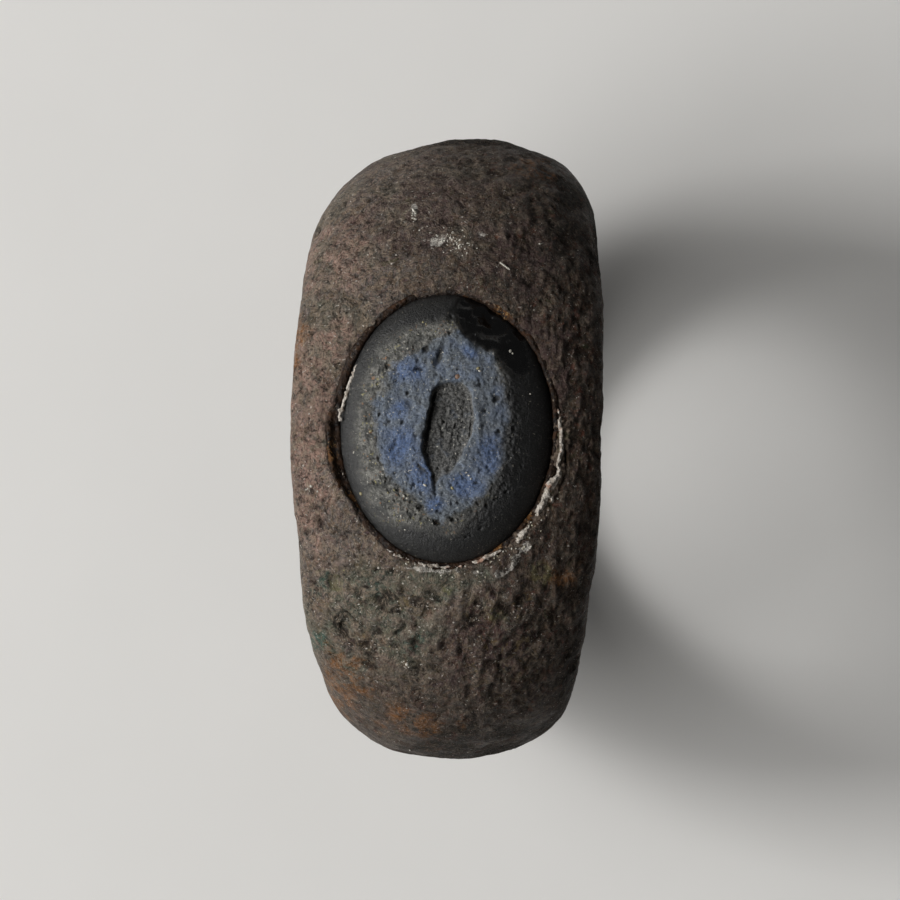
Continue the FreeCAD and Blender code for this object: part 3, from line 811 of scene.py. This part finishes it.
def gem_fields(x, y):
    """Everything about the gem's top at some places: its height, and what to paint there."""
    height, rise = ground_surface(x, y)
    gritty = spot(x, y, (-2.2, -3.0), (2.2, 1.8), 35)
    foot = spot(x, y, (0.3, -4.4), (1.7, 0.9))
    left = soft(-0.8, -3.0, x)
    uneven = rise + 0.25 * gritty + 0.09 * flat_lumps(x, y, 0.6, 4, 27.0)
    worn = soft(0.55 - 0.33 * left, 0.97 - 0.12 * left, uneven)
    worn = worn * soft(2.65, 1.65, x - 0.25 * y + 0.35) * (1 - 0.45 * foot)
    worn = np.maximum(worn, soft(0.90, 1.0, rise) * 0.35 * soft(2.7, 1.7, x))
    robe, strokes = carved(x, y)
    holes, scar = pitted(x, y) * soft(0.2, 0.6, rise), chipped(x, y)
    rough = soft(0.55, 0.97, rise) * (1 - soft(0.0, 0.05, scar))
    fret = (0.028 * flat_lumps(x, y, 0.62, 3, 8.0) + 0.024 * flat_lumps(x, y, 0.20, 3, 14.0)) * rough
    ripple = 0.008 * flat_lumps(x, y, 1.4, 2, 17.0) * soft(0.0, 0.2, rise)
    grit = 0.030 * flat_lumps(x, y, 0.15, 3, 19.0) * soft(0.1, 0.3, robe)
    at, half, lean, high = RIM
    taken = np.maximum(robe, strokes) + holes + scar
    top = height - taken + fret + ripple + grit + high * spot(x, y, at, half, lean)
    deep = np.zeros_like(x)
    for cx, cy, half_x, half_y, lean in DEEP_BLUE:
        deep = np.maximum(deep, spot(x, y, (cx, cy), (half_x, half_y), lean))
    deep = np.clip(deep * 1.3 + 0.35 * flat_lumps(x, y, 0.6, 3, 61.0), 0, 1)
    return {"top": top, "blue": blue_left(x, y, taken), "deep": deep, "worn": worn, "cut": strokes,
            "robe": robe, "hole": holes, "scar": scar}

# %% [markdown]
# ## Two kinds of glass
#
# The bevel is plain black glass with a satin skin, so nearly all that we see of it is the light that it
# mirrors. The worn face scatters light instead: it is rough and grey, and full of fine specks. The blue
# glass is opaque. Both materials blend at the same painted thickness, so the edge between the pieces
# doesn't show as a line.

# %% Black glass and blue glass
# The right bevel, the right of the blue and the deepest cuts of the figure get painted shade.
def glass(name, blue_shown):
    material, start, shader = start_material(name)
    place = in_millimetres(start)
    side = place.node("ShaderNodeSeparateXYZ", None, {"Vector": place}, out="X")
    # the right side, away from the light: painted shade there, and more pale specks
    away = step(side, 1.4, 3.4)
    fine = grain(place, 0.10, 4.0, 0.7)
    broad = grain(place, 0.62, 5.0, 0.65, 0.6)
    mottle = grain(place, 0.24, 4.0, 0.7)
    flakes = grain(place, 0.11, 2.0, 0.6)
    scratches = grain(in_millimetres(start, (1.0, 0.12, 1.0)), 0.16, 3.0)
    worn, robe, hole, scar, thickness = painted(start, "worn robe hole scar blue")

    frost = blend(step(broad, 0.38, 0.62), "50504D", "8C8A83")
    colour = coated(blend(step(mottle, 0.36, 0.64), "0A0A0A", "1C1C1B"), [
        # painted shade on the right bevel
        (away * 0.75, "040404"),
        (step(fine, 0.56, 0.68) * (0.5 + 0.3 * away), "484643"),
        (step(flakes, 0.66, 0.72) * step(broad, 0.44, 0.56), "857F74"),
        (worn * (0.45 + 0.55 * step(fine, 0.40, 0.58)), frost),
        (worn * step(mottle, 0.47, 0.37) * 0.75, "272822"),
    ])
    if blue_shown:
        cut, deep = painted(start, "cut deep")
        blue = coated(blend(deep, "686F76", "50658A"), [
            (step(broad, 0.48, 0.66) * 0.5, "7A889E"),
            (step(broad, 0.46, 0.36) * 0.45, "4C525A"),
            (step(fine, 0.48, 0.38) * 0.7, "2E343D"),
            (step(fine, 0.55, 0.66) * 0.5, "A4A9AE"),
            (step(mottle, 0.42, 0.30) * 0.8, "30343A"),
            # painted shade: the finer strokes are painted dark slate where they cut into the blue
            (step(cut, 0.03, 0.12) * 0.9, "1E2632"),
            # painted shade: the blue darker towards the right
            (step(side, 0.6, 2.8) * 0.40, "2C323C"),
        ])
        edge = step(thickness + 0.14 * (fine - 0.5) + 0.20 * (broad - 0.5), -0.01, 0.15)
        colour = blend(edge, colour, blue)

    bed = blend(step(fine, 0.38, 0.60), "2B2B29", "6E6D6A")
    dots = step(grain(place, 0.13, 2.0, 0.6), 0.59, 0.65) * step(grain(place, 0.55, 2.0), 0.44, 0.56)
    bare = step(thickness, 0.05, -0.03) * step(robe, 0.12, 0.02)
    colour = coated(colour, [
        (step(robe, 0.06, 0.24) * 0.95, blend(step(broad, 0.54, 0.64) * 0.4, bed, "565F6C")),
        # painted shade: the deepest part of the robe's trench is near black
        (step(robe, 0.40, 0.50) * 0.8, "101112"),
        (step(hole, 0.03, 0.10) * 0.65, "1D1B18"),
        (worn * dots * bare * 0.85, blend(step(grain(place, 0.4, 2.0), 0.46, 0.54), "9C9566", "946C4C")),
        (worn * step(flakes, 0.65, 0.71) * 0.9, "C4C0B4"),
        (step(scar + 0.14 * (mottle - 0.5) + 0.10 * (broad - 0.5), 0.0, 0.14), "060606"),
    ])
    gloss = step(scar, 0.02, 0.12)
    rough = 0.34 + 0.10 * step(scratches, 0.35, 0.65) + 0.10 * step(fine, 0.44, 0.60) + worn * 0.20
    height = fine * (0.50 + 0.50 * worn) + 0.15 * scratches + 0.3 * mottle
    feed(shader, {
        "Base Color": colour,
        "Roughness": rough * (1 - 0.45 * gloss),
        "Normal": bump(height * (1 - gloss), 0.11),
    })
    return material


BLACK_GLASS = glass("black_glass", False)
BLUE_GLASS = glass("blue_glass", True)
print("glass:", len(BLACK_GLASS.node_tree.nodes), "and", len(BLUE_GLASS.node_tree.nodes), "nodes")

# %% [markdown]
# ## The two layers as meshes
#
# An icosphere is the most even closed mesh that there is, so both layers start as one. Its points are
# slid over the sphere until three quarters of them lie on the top, then the top is laid on the heights
# and the rest becomes the hidden underside.

# %% The black body
TURN_OVER = 2.1  # radians from the sphere's top to where its points turn over to the underside
SUBDIVISIONS = 7
FINER_TO = 0.74
BASE = 9.96


def even_oval(finer_to=None):
    """An icosphere as places in a disc of radius 1, and how far each is round to the underside, 0 to 1."""
    bm = bmesh.new()
    bmesh.ops.create_icosphere(bm, subdivisions=SUBDIVISIONS, radius=1.0)
    if finer_to:
        limit = math.cos(TURN_OVER * math.asin(finer_to) / (math.pi / 2))
        edges = {e for f in bm.faces if f.calc_center_median().z > limit for e in f.edges}
        bmesh.ops.subdivide_edges(bm, edges=list(edges), cuts=1, use_grid_fill=True)
    x, y, z = places_of(bm).T
    size = np.sqrt(x * x + y * y + z * z)
    angle = np.arccos(np.clip(z / size, -1, 1))
    way = np.arctan2(y, x)
    top = angle < TURN_OVER
    out = np.where(
        top,
        np.sin(math.pi / 2 * np.minimum(angle / TURN_OVER, 1)),
        np.cos(math.pi / 2 * np.clip((angle - TURN_OVER) / (math.pi - TURN_OVER), 0, 1)),
    )
    under = np.where(top, 0.0, 1 - out)
    return bm, out * np.cos(way), out * np.sin(way), top, under


def move_points(bm, x, y, z):
    for v, place in zip(bm.verts, zip(x, y, z)):
        v.co = place


body_bm, disc_x, disc_y, on_top, under = even_oval(FINER_TO)
drawn_in = 1 - 0.10 * soft(0.0, 0.15, under)
body_x, body_y = disc_x * GEM_HALF[0] * drawn_in, disc_y * GEM_HALF[1] * drawn_in
body_values = gem_fields(body_x, body_y)
body_top = body_values.pop("top") - np.maximum(body_values["blue"], 0)
out = np.maximum(np.hypot(disc_x, disc_y), 1e-6)
rim = GEM_EDGE - chipped(disc_x / out * GEM_HALF[0], disc_y / out * GEM_HALF[1])
body_low = rim + (BASE - rim) * soft(0.0, 0.16, under)
move_points(body_bm, body_x, body_y, np.where(on_top, body_top, body_low))
make_piece(body_bm, "gem_black_body", "gem_body", BLACK_GLASS, body_values)

# %% The blue layer
BLUE_REACH = (3.45, 4.75)
BURIED = 0.05
blue_bm, disc_x, disc_y, on_top, under = even_oval()
blue_x, blue_y = disc_x * BLUE_REACH[0] - 0.15, disc_y * BLUE_REACH[1] + 0.1
blue_values = gem_fields(blue_x, blue_y)
blue_top = blue_values.pop("top")
thickness = blue_values["blue"]
blue_top = blue_top - BURIED * soft(0.0, -0.05, thickness)
blue_low = blue_top - np.maximum(thickness, 0) - BURIED
move_points(blue_bm, blue_x, blue_y, np.where(on_top, blue_top, blue_low))
make_piece(blue_bm, "gem_blue_layer", "gem_face", BLUE_GLASS, blue_values)

# %% [markdown]
# ## Resin in the joint
#
# The gem is bedded in old resin. It shows as a thin brown line round the edge, and as dark amber pools
# where the socket's lip has broken away. The CAD bed is the right solid, so we start from a copy of it.
# Two ropes of overlapping drops are laid along the joint and more drops fill the pools, then the remesher
# melts everything into one skin and two rounds of smoothing let it flow.

# %% Resin and its material
BED_LEVEL = 10.84
DEEPEST_SUNK = 0.20
RESIN_VOXEL = 0.07
ROPE_DROPS = 760
POOL_DROPS = 9  # for each degree of a pool
ROPES = [
    # past the gem's edge, its wobble's size and seed; below the lip, that wobble's size and seed; fattest
    (0.07, 1.0, 1.7, 0.05, 1.4, 4.3, 0.12),
    (0.21, 0.7, 2.9, 0.09, 1.1, 5.3, 0.13),
]


def old_resin():
    material, start, shader = start_material("setting_resin")
    place = in_millimetres(start)
    cloud = grain(place, 0.35, 5.0, 0.7, 0.5)
    dust = grain(place, 0.12, 3.0)
    [amber] = painted(start, "amber")
    colour = coated(blend(step(cloud, 0.38, 0.62), "120A05", "2C1B0D"), [
        (step(grain(place, 0.5, 3.0), 0.56, 0.66) * 0.6, "4A2F1A"),
        (amber * step(cloud, 0.44, 0.58) * 0.8, "7C5226"),
        (amber * step(dust, 0.58, 0.66) * 0.9, "C09A62"),
        (step(dust, 0.62, 0.70) * 0.6, "8A7A66"),
    ])
    feed(shader, {
        "Base Color": colour,
        "Roughness": 0.40 + 0.35 * step(cloud, 0.4, 0.65),
        "Specular IOR Level": 0.25,
        "Normal": bump(grain(place, 0.14, 5.0), 0.14, 0.8),
    })
    return material


def drop(x, y, z, size, flat, chance):
    """The place, turn and size of one lump or crumb, squashed and turned at random."""
    spin = Matrix.Rotation(chance.uniform(0, 6.28), 4, "Z")
    tip = Matrix.Rotation(chance.uniform(-0.3, 0.3), 4, "X")
    halves = (size * chance.uniform(0.8, 1.4), size * chance.uniform(0.6, 1.0), size * flat, 1)
    return Matrix.Translation((x, y, z)) @ (spin @ tip) @ Matrix.Diagonal(halves)


def fill(x, y, top, size, chance):
    """A drop that stands on the bed of resin or packing and reaches up to a height."""
    half = (top - BED_LEVEL) / 2
    return drop(x, y, BED_LEVEL + half, size, half / size, chance)


def add_drops(bm, drops, roundness=2):
    """Adds a small icosphere for each drop, made apart and joined on; gives the points in one."""
    mesh = bpy.data.meshes.new("drop")
    for placed in drops:
        one = bmesh.new()
        bmesh.ops.create_icosphere(one, subdivisions=roundness, radius=1.0, matrix=placed)
        one.to_mesh(mesh)
        one.free()
        bm.from_mesh(mesh)
    return len(mesh.vertices)


def along_joint(angle, out):
    """A place near the joint: the angle is from +X, and out is the distance past the gem's edge."""
    a = math.radians(angle)
    reach = 1 / math.hypot(math.cos(a) / (GEM_HALF[0] + out), math.sin(a) / (GEM_HALF[1] + out))
    return reach * math.cos(a), reach * math.sin(a)


def lip_level(x, y):
    """Height of the socket's lip, which is lowest at the two ends of the oval."""
    return 11.09 + 0.40 * abs(x) / math.hypot(x, y)


def wobble(angle, size, seed):
    """A random number of about -1 to 1 that changes smoothly along the joint and meets itself."""
    a = math.radians(angle)
    return noise.noise(Vector((math.cos(a), math.sin(a), seed)) * (5.0 / size)) * NOISE_GAIN


def sunk(angle):
    """How far the resin has sunk: on the left, where the lip has broken away, it lies low."""
    return DEEPEST_SUNK * float(soft(160, 172, angle) * soft(234, 220, angle))


POOLS = [
    # from angle, to angle, nearest and furthest past the gem's edge
    (166, 226, 0.05, 0.55), (138, 166, 0.03, 0.20), (62, 70, 0.05, 0.30), (286, 300, 0.05, 0.30),
]
AMBER = [
    # place, half sizes, lean: where amber shows through
    ((-4.10, -3.00), (0.60, 0.90), 35), ((2.00, -4.90), (0.60, 0.35), 30), ((3.40, -3.65), (0.40, 0.40), 0),
    ((2.30, 4.80), (0.55, 0.35), -40), ((-4.75, -0.9), (0.40, 0.8), 5),
]
chance = random.Random(3)
drops = []
for n in range(ROPE_DROPS):
    angle = 360 * n / ROPE_DROPS
    for past, past_size, past_seed, below, below_size, below_seed, fattest in ROPES:
        x, y = along_joint(angle, past + 0.03 * wobble(angle, past_size, past_seed))
        top = lip_level(x, y) - sunk(angle) - below + 0.05 * wobble(angle, below_size, below_seed)
        drops.append(fill(x, y, top, chance.uniform(0.09, fattest), chance))
for start_angle, end_angle, near, far in POOLS:
    for n in range(POOL_DROPS * (end_angle - start_angle)):
        t = chance.random()
        fullness = math.sin(math.pi * t) ** 0.4
        angle = start_angle + (end_angle - start_angle) * t
        out = chance.uniform(near, near + (far - near) * fullness)
        low = sunk(angle) * float(soft(0.46, 0.30, out))
        x, y = along_joint(angle, out)
        top = lip_level(x, y) - low - 0.10 + chance.uniform(-0.08, 0.05)
        drops.append(fill(x, y, top, chance.uniform(0.11, 0.17), chance))
resin_bm = mesh_of_node("resin_bed")
add_drops(resin_bm, drops)
resin_bm = remeshed(resin_bm, RESIN_VOXEL)
smoothed(resin_bm, 2)
raise_along_normals(resin_bm, 0.02 * lumps(places_of(resin_bm), 0.35, 3, 7.0))
resin_x, resin_y = places_of(resin_bm).T[:2]
amber = np.zeros(len(resin_x))
for at, half, lean in AMBER:
    amber = np.maximum(amber, spot(resin_x, resin_y, at, half, lean))
make_piece(resin_bm, "resin_bedding", "resin_bed", old_resin(), {"amber": amber})

# %% [markdown]
# ## Pale crust
#
# The broken lip at the lower right is stopped with a crumbly packing. Most of it has the colour of soil,
# and a thin pale edge of lime winds through it beside the gem. Crumbs are best made as crumbs: many small
# icospheres are squashed and scattered, and the voxel remesher melts them into one crust. The lime is
# painted by how near each point is to the winding line.

# %% Lime and soil
def dusty_packing():
    material, start, shader = start_material("lime_packing")
    place = in_millimetres(start)
    cloud = grain(place, 0.26, 5.0, 0.7, 0.5)
    blotch = grain(place, 0.5, 3.0)
    [lime_line] = painted(start, "lime")
    soil = blend(step(cloud, 0.40, 0.62), "3F332A", "6E5F50")
    soil = blend(step(blotch, 0.54, 0.66), soil, "55503A")
    lime = blend(step(cloud, 0.36, 0.60), "8E8274", "D2CABF")
    lime = blend(step(blotch, 0.58, 0.68), lime, "A98672")
    feed(shader, {
        "Base Color": blend(step(lime_line + 0.5 * (cloud - 0.5), 0.35, 0.55), soil, lime),
        "Roughness": 0.8,
        "Normal": bump(grain(place, 0.10, 4.0), 0.14),
    })
    return material


def lay_on(x, y):
    """Height of the iron at a place, or of what fills the joint beside the gem."""
    hit = hoop_surface.ray_cast(Vector((x, y, 20.0)), Vector((0, 0, -1)))[0]
    in_joint = math.hypot(x / GEM_HALF[0], y / GEM_HALF[1]) < 1.09
    return max(hit.z if hit else 0.0, lip_level(x, y) - 0.08 if in_joint else 0.0)

# %% Crumbs along the joint
CRUST_VOXEL = 0.05
CRUST = [
    # from angle, to angle, crumbs, nearest and furthest past the gem's edge, size
    (4, -62, 300, (0.10, 0.62), 0.12),
    (-60, -84, 40, (0.06, 0.30), 0.07),
    (20, -10, 40, (0.10, 0.20), 0.06),
]
LIME_LINES = [
    # each point: x, y, half width
    [(4.58, 0.75, 0.04), (4.66, -0.29, 0.045), (4.70, -0.94, 0.05), (4.54, -1.45, 0.04), (4.60, -1.92, 0.06),
     (4.22, -2.32, 0.13), (4.05, -2.75, 0.07), (3.92, -3.05, 0.10), (3.66, -3.50, 0.06)],
    [(3.30, -4.12, 0.05), (3.06, -4.42, 0.11), (2.86, -4.62, 0.06)],
    [(2.30, -4.98, 0.05), (1.95, -5.14, 0.08), (1.65, -5.28, 0.09), (1.30, -5.42, 0.06),
     (1.00, -5.52, 0.04)],
    [(3.90, -2.70, 0.03), (4.30, -2.85, 0.035), (4.42, -3.30, 0.03)],
    [(-3.64, 2.68, 0.05), (-3.93, 1.95, 0.08), (-4.17, 1.20, 0.09), (-4.34, 0.62, 0.10),
     (-4.40, 0.25, 0.06)],
    [(-4.36, -1.45, 0.03), (-4.20, -2.05, 0.035)],
    [(-2.45, -4.98, 0.05), (-1.90, -5.25, 0.06), (-1.55, -5.38, 0.03)],
    [(-1.20, -5.50, 0.05), (-0.70, -5.62, 0.07), (-0.20, -5.66, 0.06), (0.25, -5.68, 0.04),
     (0.65, -5.64, 0.05)],
]
LIME_STRETCHES = [ends for line in LIME_LINES for ends in zip(line, line[1:])]
HOLE_IN_CRUST, HOLE_RADIUS = (4.30, -1.76), 0.26
chance = random.Random(5)
drops = []
for start_angle, end_angle, count, (near, far), size in CRUST:
    for n in range(count):
        angle = start_angle + (end_angle - start_angle) * (n + chance.random()) / count
        reach = near + (far - near) * chance.random() ** 1.5
        x, y = along_joint(angle, reach)
        if math.hypot(x - HOLE_IN_CRUST[0], y - HOLE_IN_CRUST[1]) < HOLE_RADIUS:
            continue
        top = max(lay_on(x, y), lip_level(x, y) - 0.10) + chance.uniform(-0.06, 0.05)
        drops.append(fill(x, y, top, size * chance.uniform(0.7, 1.4), chance))
for (x0, y0, size0), (x1, y1, size1) in LIME_STRETCHES:
    steps = max(2, int(math.hypot(x1 - x0, y1 - y0) / 0.05))
    for n in range(steps):
        t, size = n / steps, (size0 + (size1 - size0) * n / steps) * chance.uniform(0.5, 1.2)
        x = x0 + (x1 - x0) * t + chance.gauss(0, 0.03)
        y = y0 + (y1 - y0) * t + chance.gauss(0, 0.03)
        drops.append(drop(x, y, max(lay_on(x, y), lip_level(x, y) - 0.06) + 0.02, size, 0.9, chance))
crust_bm = mesh_of_node("pale_packing")
add_drops(crust_bm, drops)
crust_bm = remeshed(crust_bm, CRUST_VOXEL)
raise_along_normals(crust_bm, 0.02 * lumps(places_of(crust_bm), 0.16, 2, 3.0))
crust_at = places_of(crust_bm)
nearness = np.zeros(len(crust_at))
for (x0, y0, size0), (x1, y1, size1) in LIME_STRETCHES:
    run = np.array([x1 - x0, y1 - y0])
    t = np.clip(((crust_at[:, :2] - (x0, y0)) @ run) / (run @ run), 0, 1)
    away = np.hypot(*(crust_at[:, :2] - (x0, y0) - t[:, None] * run).T)
    nearness = np.maximum(nearness, soft(2.4, 0.9, away / (size0 + (size1 - size0) * t)))
crust_values = {"lime": nearness}
make_piece(crust_bm, "pale_crust", "pale_packing", dusty_packing(), crust_values)

# %% [markdown]
# ## Grit
#
# Small bright grains catch the eye on the iron and on the gem: lime, quartz, and one pale root fibre.
# They are real lumps rather than paint, so that they hold up from the side. Each is a tiny squashed
# icosphere of twenty faces that sits on the surface under it. The ones that stand out are listed one by one,
# and the rest come in clusters and as crumbs below the joint.

# %% Grains and a fibre
def pale_grit():
    material, start, shader = start_material("pale_grit")
    place = in_millimetres(start)
    [kind] = painted(start, "kind")
    colour = by_value(kind, (0.0, "D0CBBE"), (0.5, "99906B"), (1.0, "80624F"))
    feed(shader, {
        "Base Color": blend(step(grain(place, 0.06, 2.0), 0.55, 0.40) * 0.5, colour, "5A5348"),
        "Roughness": 0.6,
        "Normal": bump(grain(place, 0.05, 2.0), 0.02, 0.6),
    })
    return material


LIME, YELLOW, RUSTY = 0.0, 0.5, 1.0
ON_IRON = [
    # x, y, size, kind
    (-1.36, 9.19, 0.09, LIME), (-1.30, 9.05, 0.07, LIME), (-1.40, 8.85, 0.06, LIME),
    (3.82, 7.72, 0.06, LIME), (-1.64, -9.51, 0.09, LIME), (-1.54, -12.7, 0.05, LIME),
    (0.55, 7.85, 0.06, LIME), (0.15, 7.95, 0.05, LIME), (0.85, 7.70, 0.07, LIME),
    (0.75, 7.45, 0.05, LIME), (-0.40, 8.05, 0.05, LIME), (-5.55, -2.35, 0.07, LIME),
    (-2.35, -8.78, 0.07, YELLOW), (-3.60, -7.10, 0.05, LIME), (-4.20, -5.75, 0.05, YELLOW),
]
ON_GEM = [
    (1.27, 2.40, 0.08, YELLOW), (1.34, 2.28, 0.06, LIME), (-3.10, -0.17, 0.08, YELLOW),
    (-0.97, 4.30, 0.06, YELLOW), (-0.85, 4.22, 0.05, YELLOW), (-3.50, -2.70, 0.10, YELLOW),
    (-1.75, -2.85, 0.07, LIME), (-1.62, -2.93, 0.06, LIME), (-0.89, -2.40, 0.08, LIME),
    (0.22, -2.52, 0.07, YELLOW), (0.80, -1.88, 0.05, LIME), (0.90, -2.00, 0.05, LIME),
    (0.98, -2.14, 0.05, LIME), (-1.87, -3.65, 0.05, LIME), (2.58, 3.15, 0.09, LIME),
    (2.68, 3.05, 0.06, LIME), (3.40, 1.37, 0.05, LIME), (-0.90, -0.70, 0.05, LIME),
    (-2.20, -3.30, 0.05, YELLOW), (-0.60, -3.40, 0.05, LIME), (-2.90, -1.50, 0.05, YELLOW),
    (0.46, 2.04, 0.17, RUSTY), (-3.80, -1.02, 0.05, LIME), (-1.60, 3.20, 0.05, LIME),
    (-2.60, 1.25, 0.05, YELLOW), (-1.70, -4.20, 0.05, LIME), (-2.70, -3.10, 0.06, RUSTY),
    (-2.40, -2.70, 0.05, YELLOW),
]
CLUSTERS = [
    # x, y, half width, half length, how many
    (-1.34, 8.95, 0.06, 0.34, 16), (-1.05, 8.30, 0.20, 0.20, 5), (0.22, 7.85, 0.20, 0.30, 40),
    (0.70, 7.50, 0.24, 0.18, 16), (-0.35, 8.00, 0.16, 0.12, 6), (3.85, 7.70, 0.05, 0.05, 3),
    (-5.60, -2.40, 0.10, 0.12, 6), (-1.66, -9.50, 0.05, 0.09, 5),
]
CRUMBS_BELOW = 70
FIBRE, FIBRE_DROPS = [(2.20, 6.86), (2.56, 6.58)], 9
chance = random.Random(8)
for cx, cy, half_x, half_y, count in CLUSTERS:
    for _ in range(count):
        x, y = chance.gauss(cx, half_x), chance.gauss(cy, half_y)
        ON_IRON.append((x, y, chance.uniform(0.018, 0.05), LIME))
for _ in range(CRUMBS_BELOW):
    x, y = along_joint(chance.uniform(248, 332), 0.22 + 0.8 * chance.random() ** 2)
    ON_IRON.append((x, y, chance.uniform(0.025, 0.06), chance.choice((LIME, LIME, 0.3))))
gem_levels = gem_fields(np.array([g[0] for g in ON_GEM]), np.array([g[1] for g in ON_GEM]))["top"]
iron_levels = [lay_on(x, y) for x, y, size, kind in ON_IRON]
drops = []
kinds = []
for (x, y, size, kind), level in zip(ON_GEM + ON_IRON, [*gem_levels, *iron_levels]):
    drops.append(drop(x, y, float(level), size, 0.45 if kind == RUSTY else 0.5, chance))
    kinds.append(kind)
for n in range(FIBRE_DROPS):
    x, y = (a + (b - a) * n / (FIBRE_DROPS - 1) for a, b in zip(*FIBRE))
    drops.append(drop(x, y, lay_on(x, y) + 0.04, 0.045, 0.9, chance))
    kinds.append(LIME)
grit_bm = bmesh.new()
each = add_drops(grit_bm, drops, roundness=1)
make_piece(grit_bm, "pale_grit", None, pale_grit(), {"kind": np.repeat(kinds, each)})

# %% [markdown]
# ## Floor, light and camera
#
# The ring stands on a pale floor, on the back of its band. One broad soft light stands low on the left,
# because a raking light is what shows a worn carving, and it is mirrored in the gem's left bevel. A small
# one beside it gives the crisper edge of the shadows, and the sky fills them. The camera looks down on the
# bezel from far off with a long lens, which keeps the perspective flat.

# %% Floor and light
def pale_floor():
    """Pale to the camera and in reflections, and darker to the light that bounces up from it."""
    material, start, shader = start_material("pale_floor")
    cloud = grain(in_millimetres(start), 9.0, 3.0)
    seen = start.node("ShaderNodeLightPath", out="Is Camera Ray")
    for way in ("Is Glossy Ray", "Is Transmission Ray"):
        seen = seen.sum("MAXIMUM", seen, start.node("ShaderNodeLightPath", out=way))
    feed(shader, {
        "Base Color": blend(seen, "5A5856", blend(cloud, "E6E4E0", "ECEAE6")),
        "Roughness": 0.7,
    })
    return material


FLOOR_HALF, FLOOR_GAP = 0.6, 0.0001
floor_bm = bmesh.new()
bmesh.ops.create_grid(floor_bm, x_segments=4, y_segments=4, size=FLOOR_HALF)
bmesh.ops.translate(floor_bm, vec=(0, 0, cad_box[0][2] - FLOOR_GAP), verts=floor_bm.verts)
floor_mesh = bpy.data.meshes.new("floor")
floor_bm.to_mesh(floor_mesh)
floor_bm.free()
floor_mesh.materials.append(pale_floor())
floor = in_scene("floor", floor_mesh)

LIGHT_DISTANCE = 0.50
SKY_STRENGTH = 0.085
LIGHTS = [
    # name, direction from the ring, side of the square, power
    ("key", (-1.0, -0.12, 0.62), 0.46, 2.6),
    ("crisp", (-1.0, 0.10, 0.70), 0.12, 1.1),
]
for name, direction, size, power in LIGHTS:
    light = bpy.data.lights.new(name, "AREA")
    light.shape, light.size, light.energy = "SQUARE", size, power
    way = Vector(direction).normalized()
    lamp = in_scene(name, light)
    lamp.location = way * LIGHT_DISTANCE
    lamp.rotation_euler = way.to_track_quat("Z", "Y").to_euler()
world = bpy.data.worlds.new("sky")
bpy.context.scene.world = world
world.use_nodes = True
feed(world.node_tree.nodes["Background"], {"Color": (1.0, 1.0, 1.0, 1.0), "Strength": SKY_STRENGTH})

# %% Camera
ELEVATION = math.radians(85.5)
DISTANCE = 0.450
PICTURE_WIDTH = 0.03774
SENSOR = 36.0
AIM = Vector((0.000128, 0.0, 0.0))
camera_data = bpy.data.cameras.new("camera")
camera_data.sensor_width = SENSOR
camera_data.lens = SENSOR * DISTANCE / PICTURE_WIDTH
camera_data.clip_start, camera_data.clip_end = 0.01, 5.0
camera = in_scene("camera", camera_data)
way = Vector((0.0, -math.cos(ELEVATION), math.sin(ELEVATION)))
camera.location = AIM + way * DISTANCE
camera.rotation_euler = way.to_track_quat("Z", "Y").to_euler()
bpy.context.scene.camera = camera
bpy.context.scene.view_settings.view_transform = "Standard"
print(f"lens {camera_data.lens:.0f} mm")
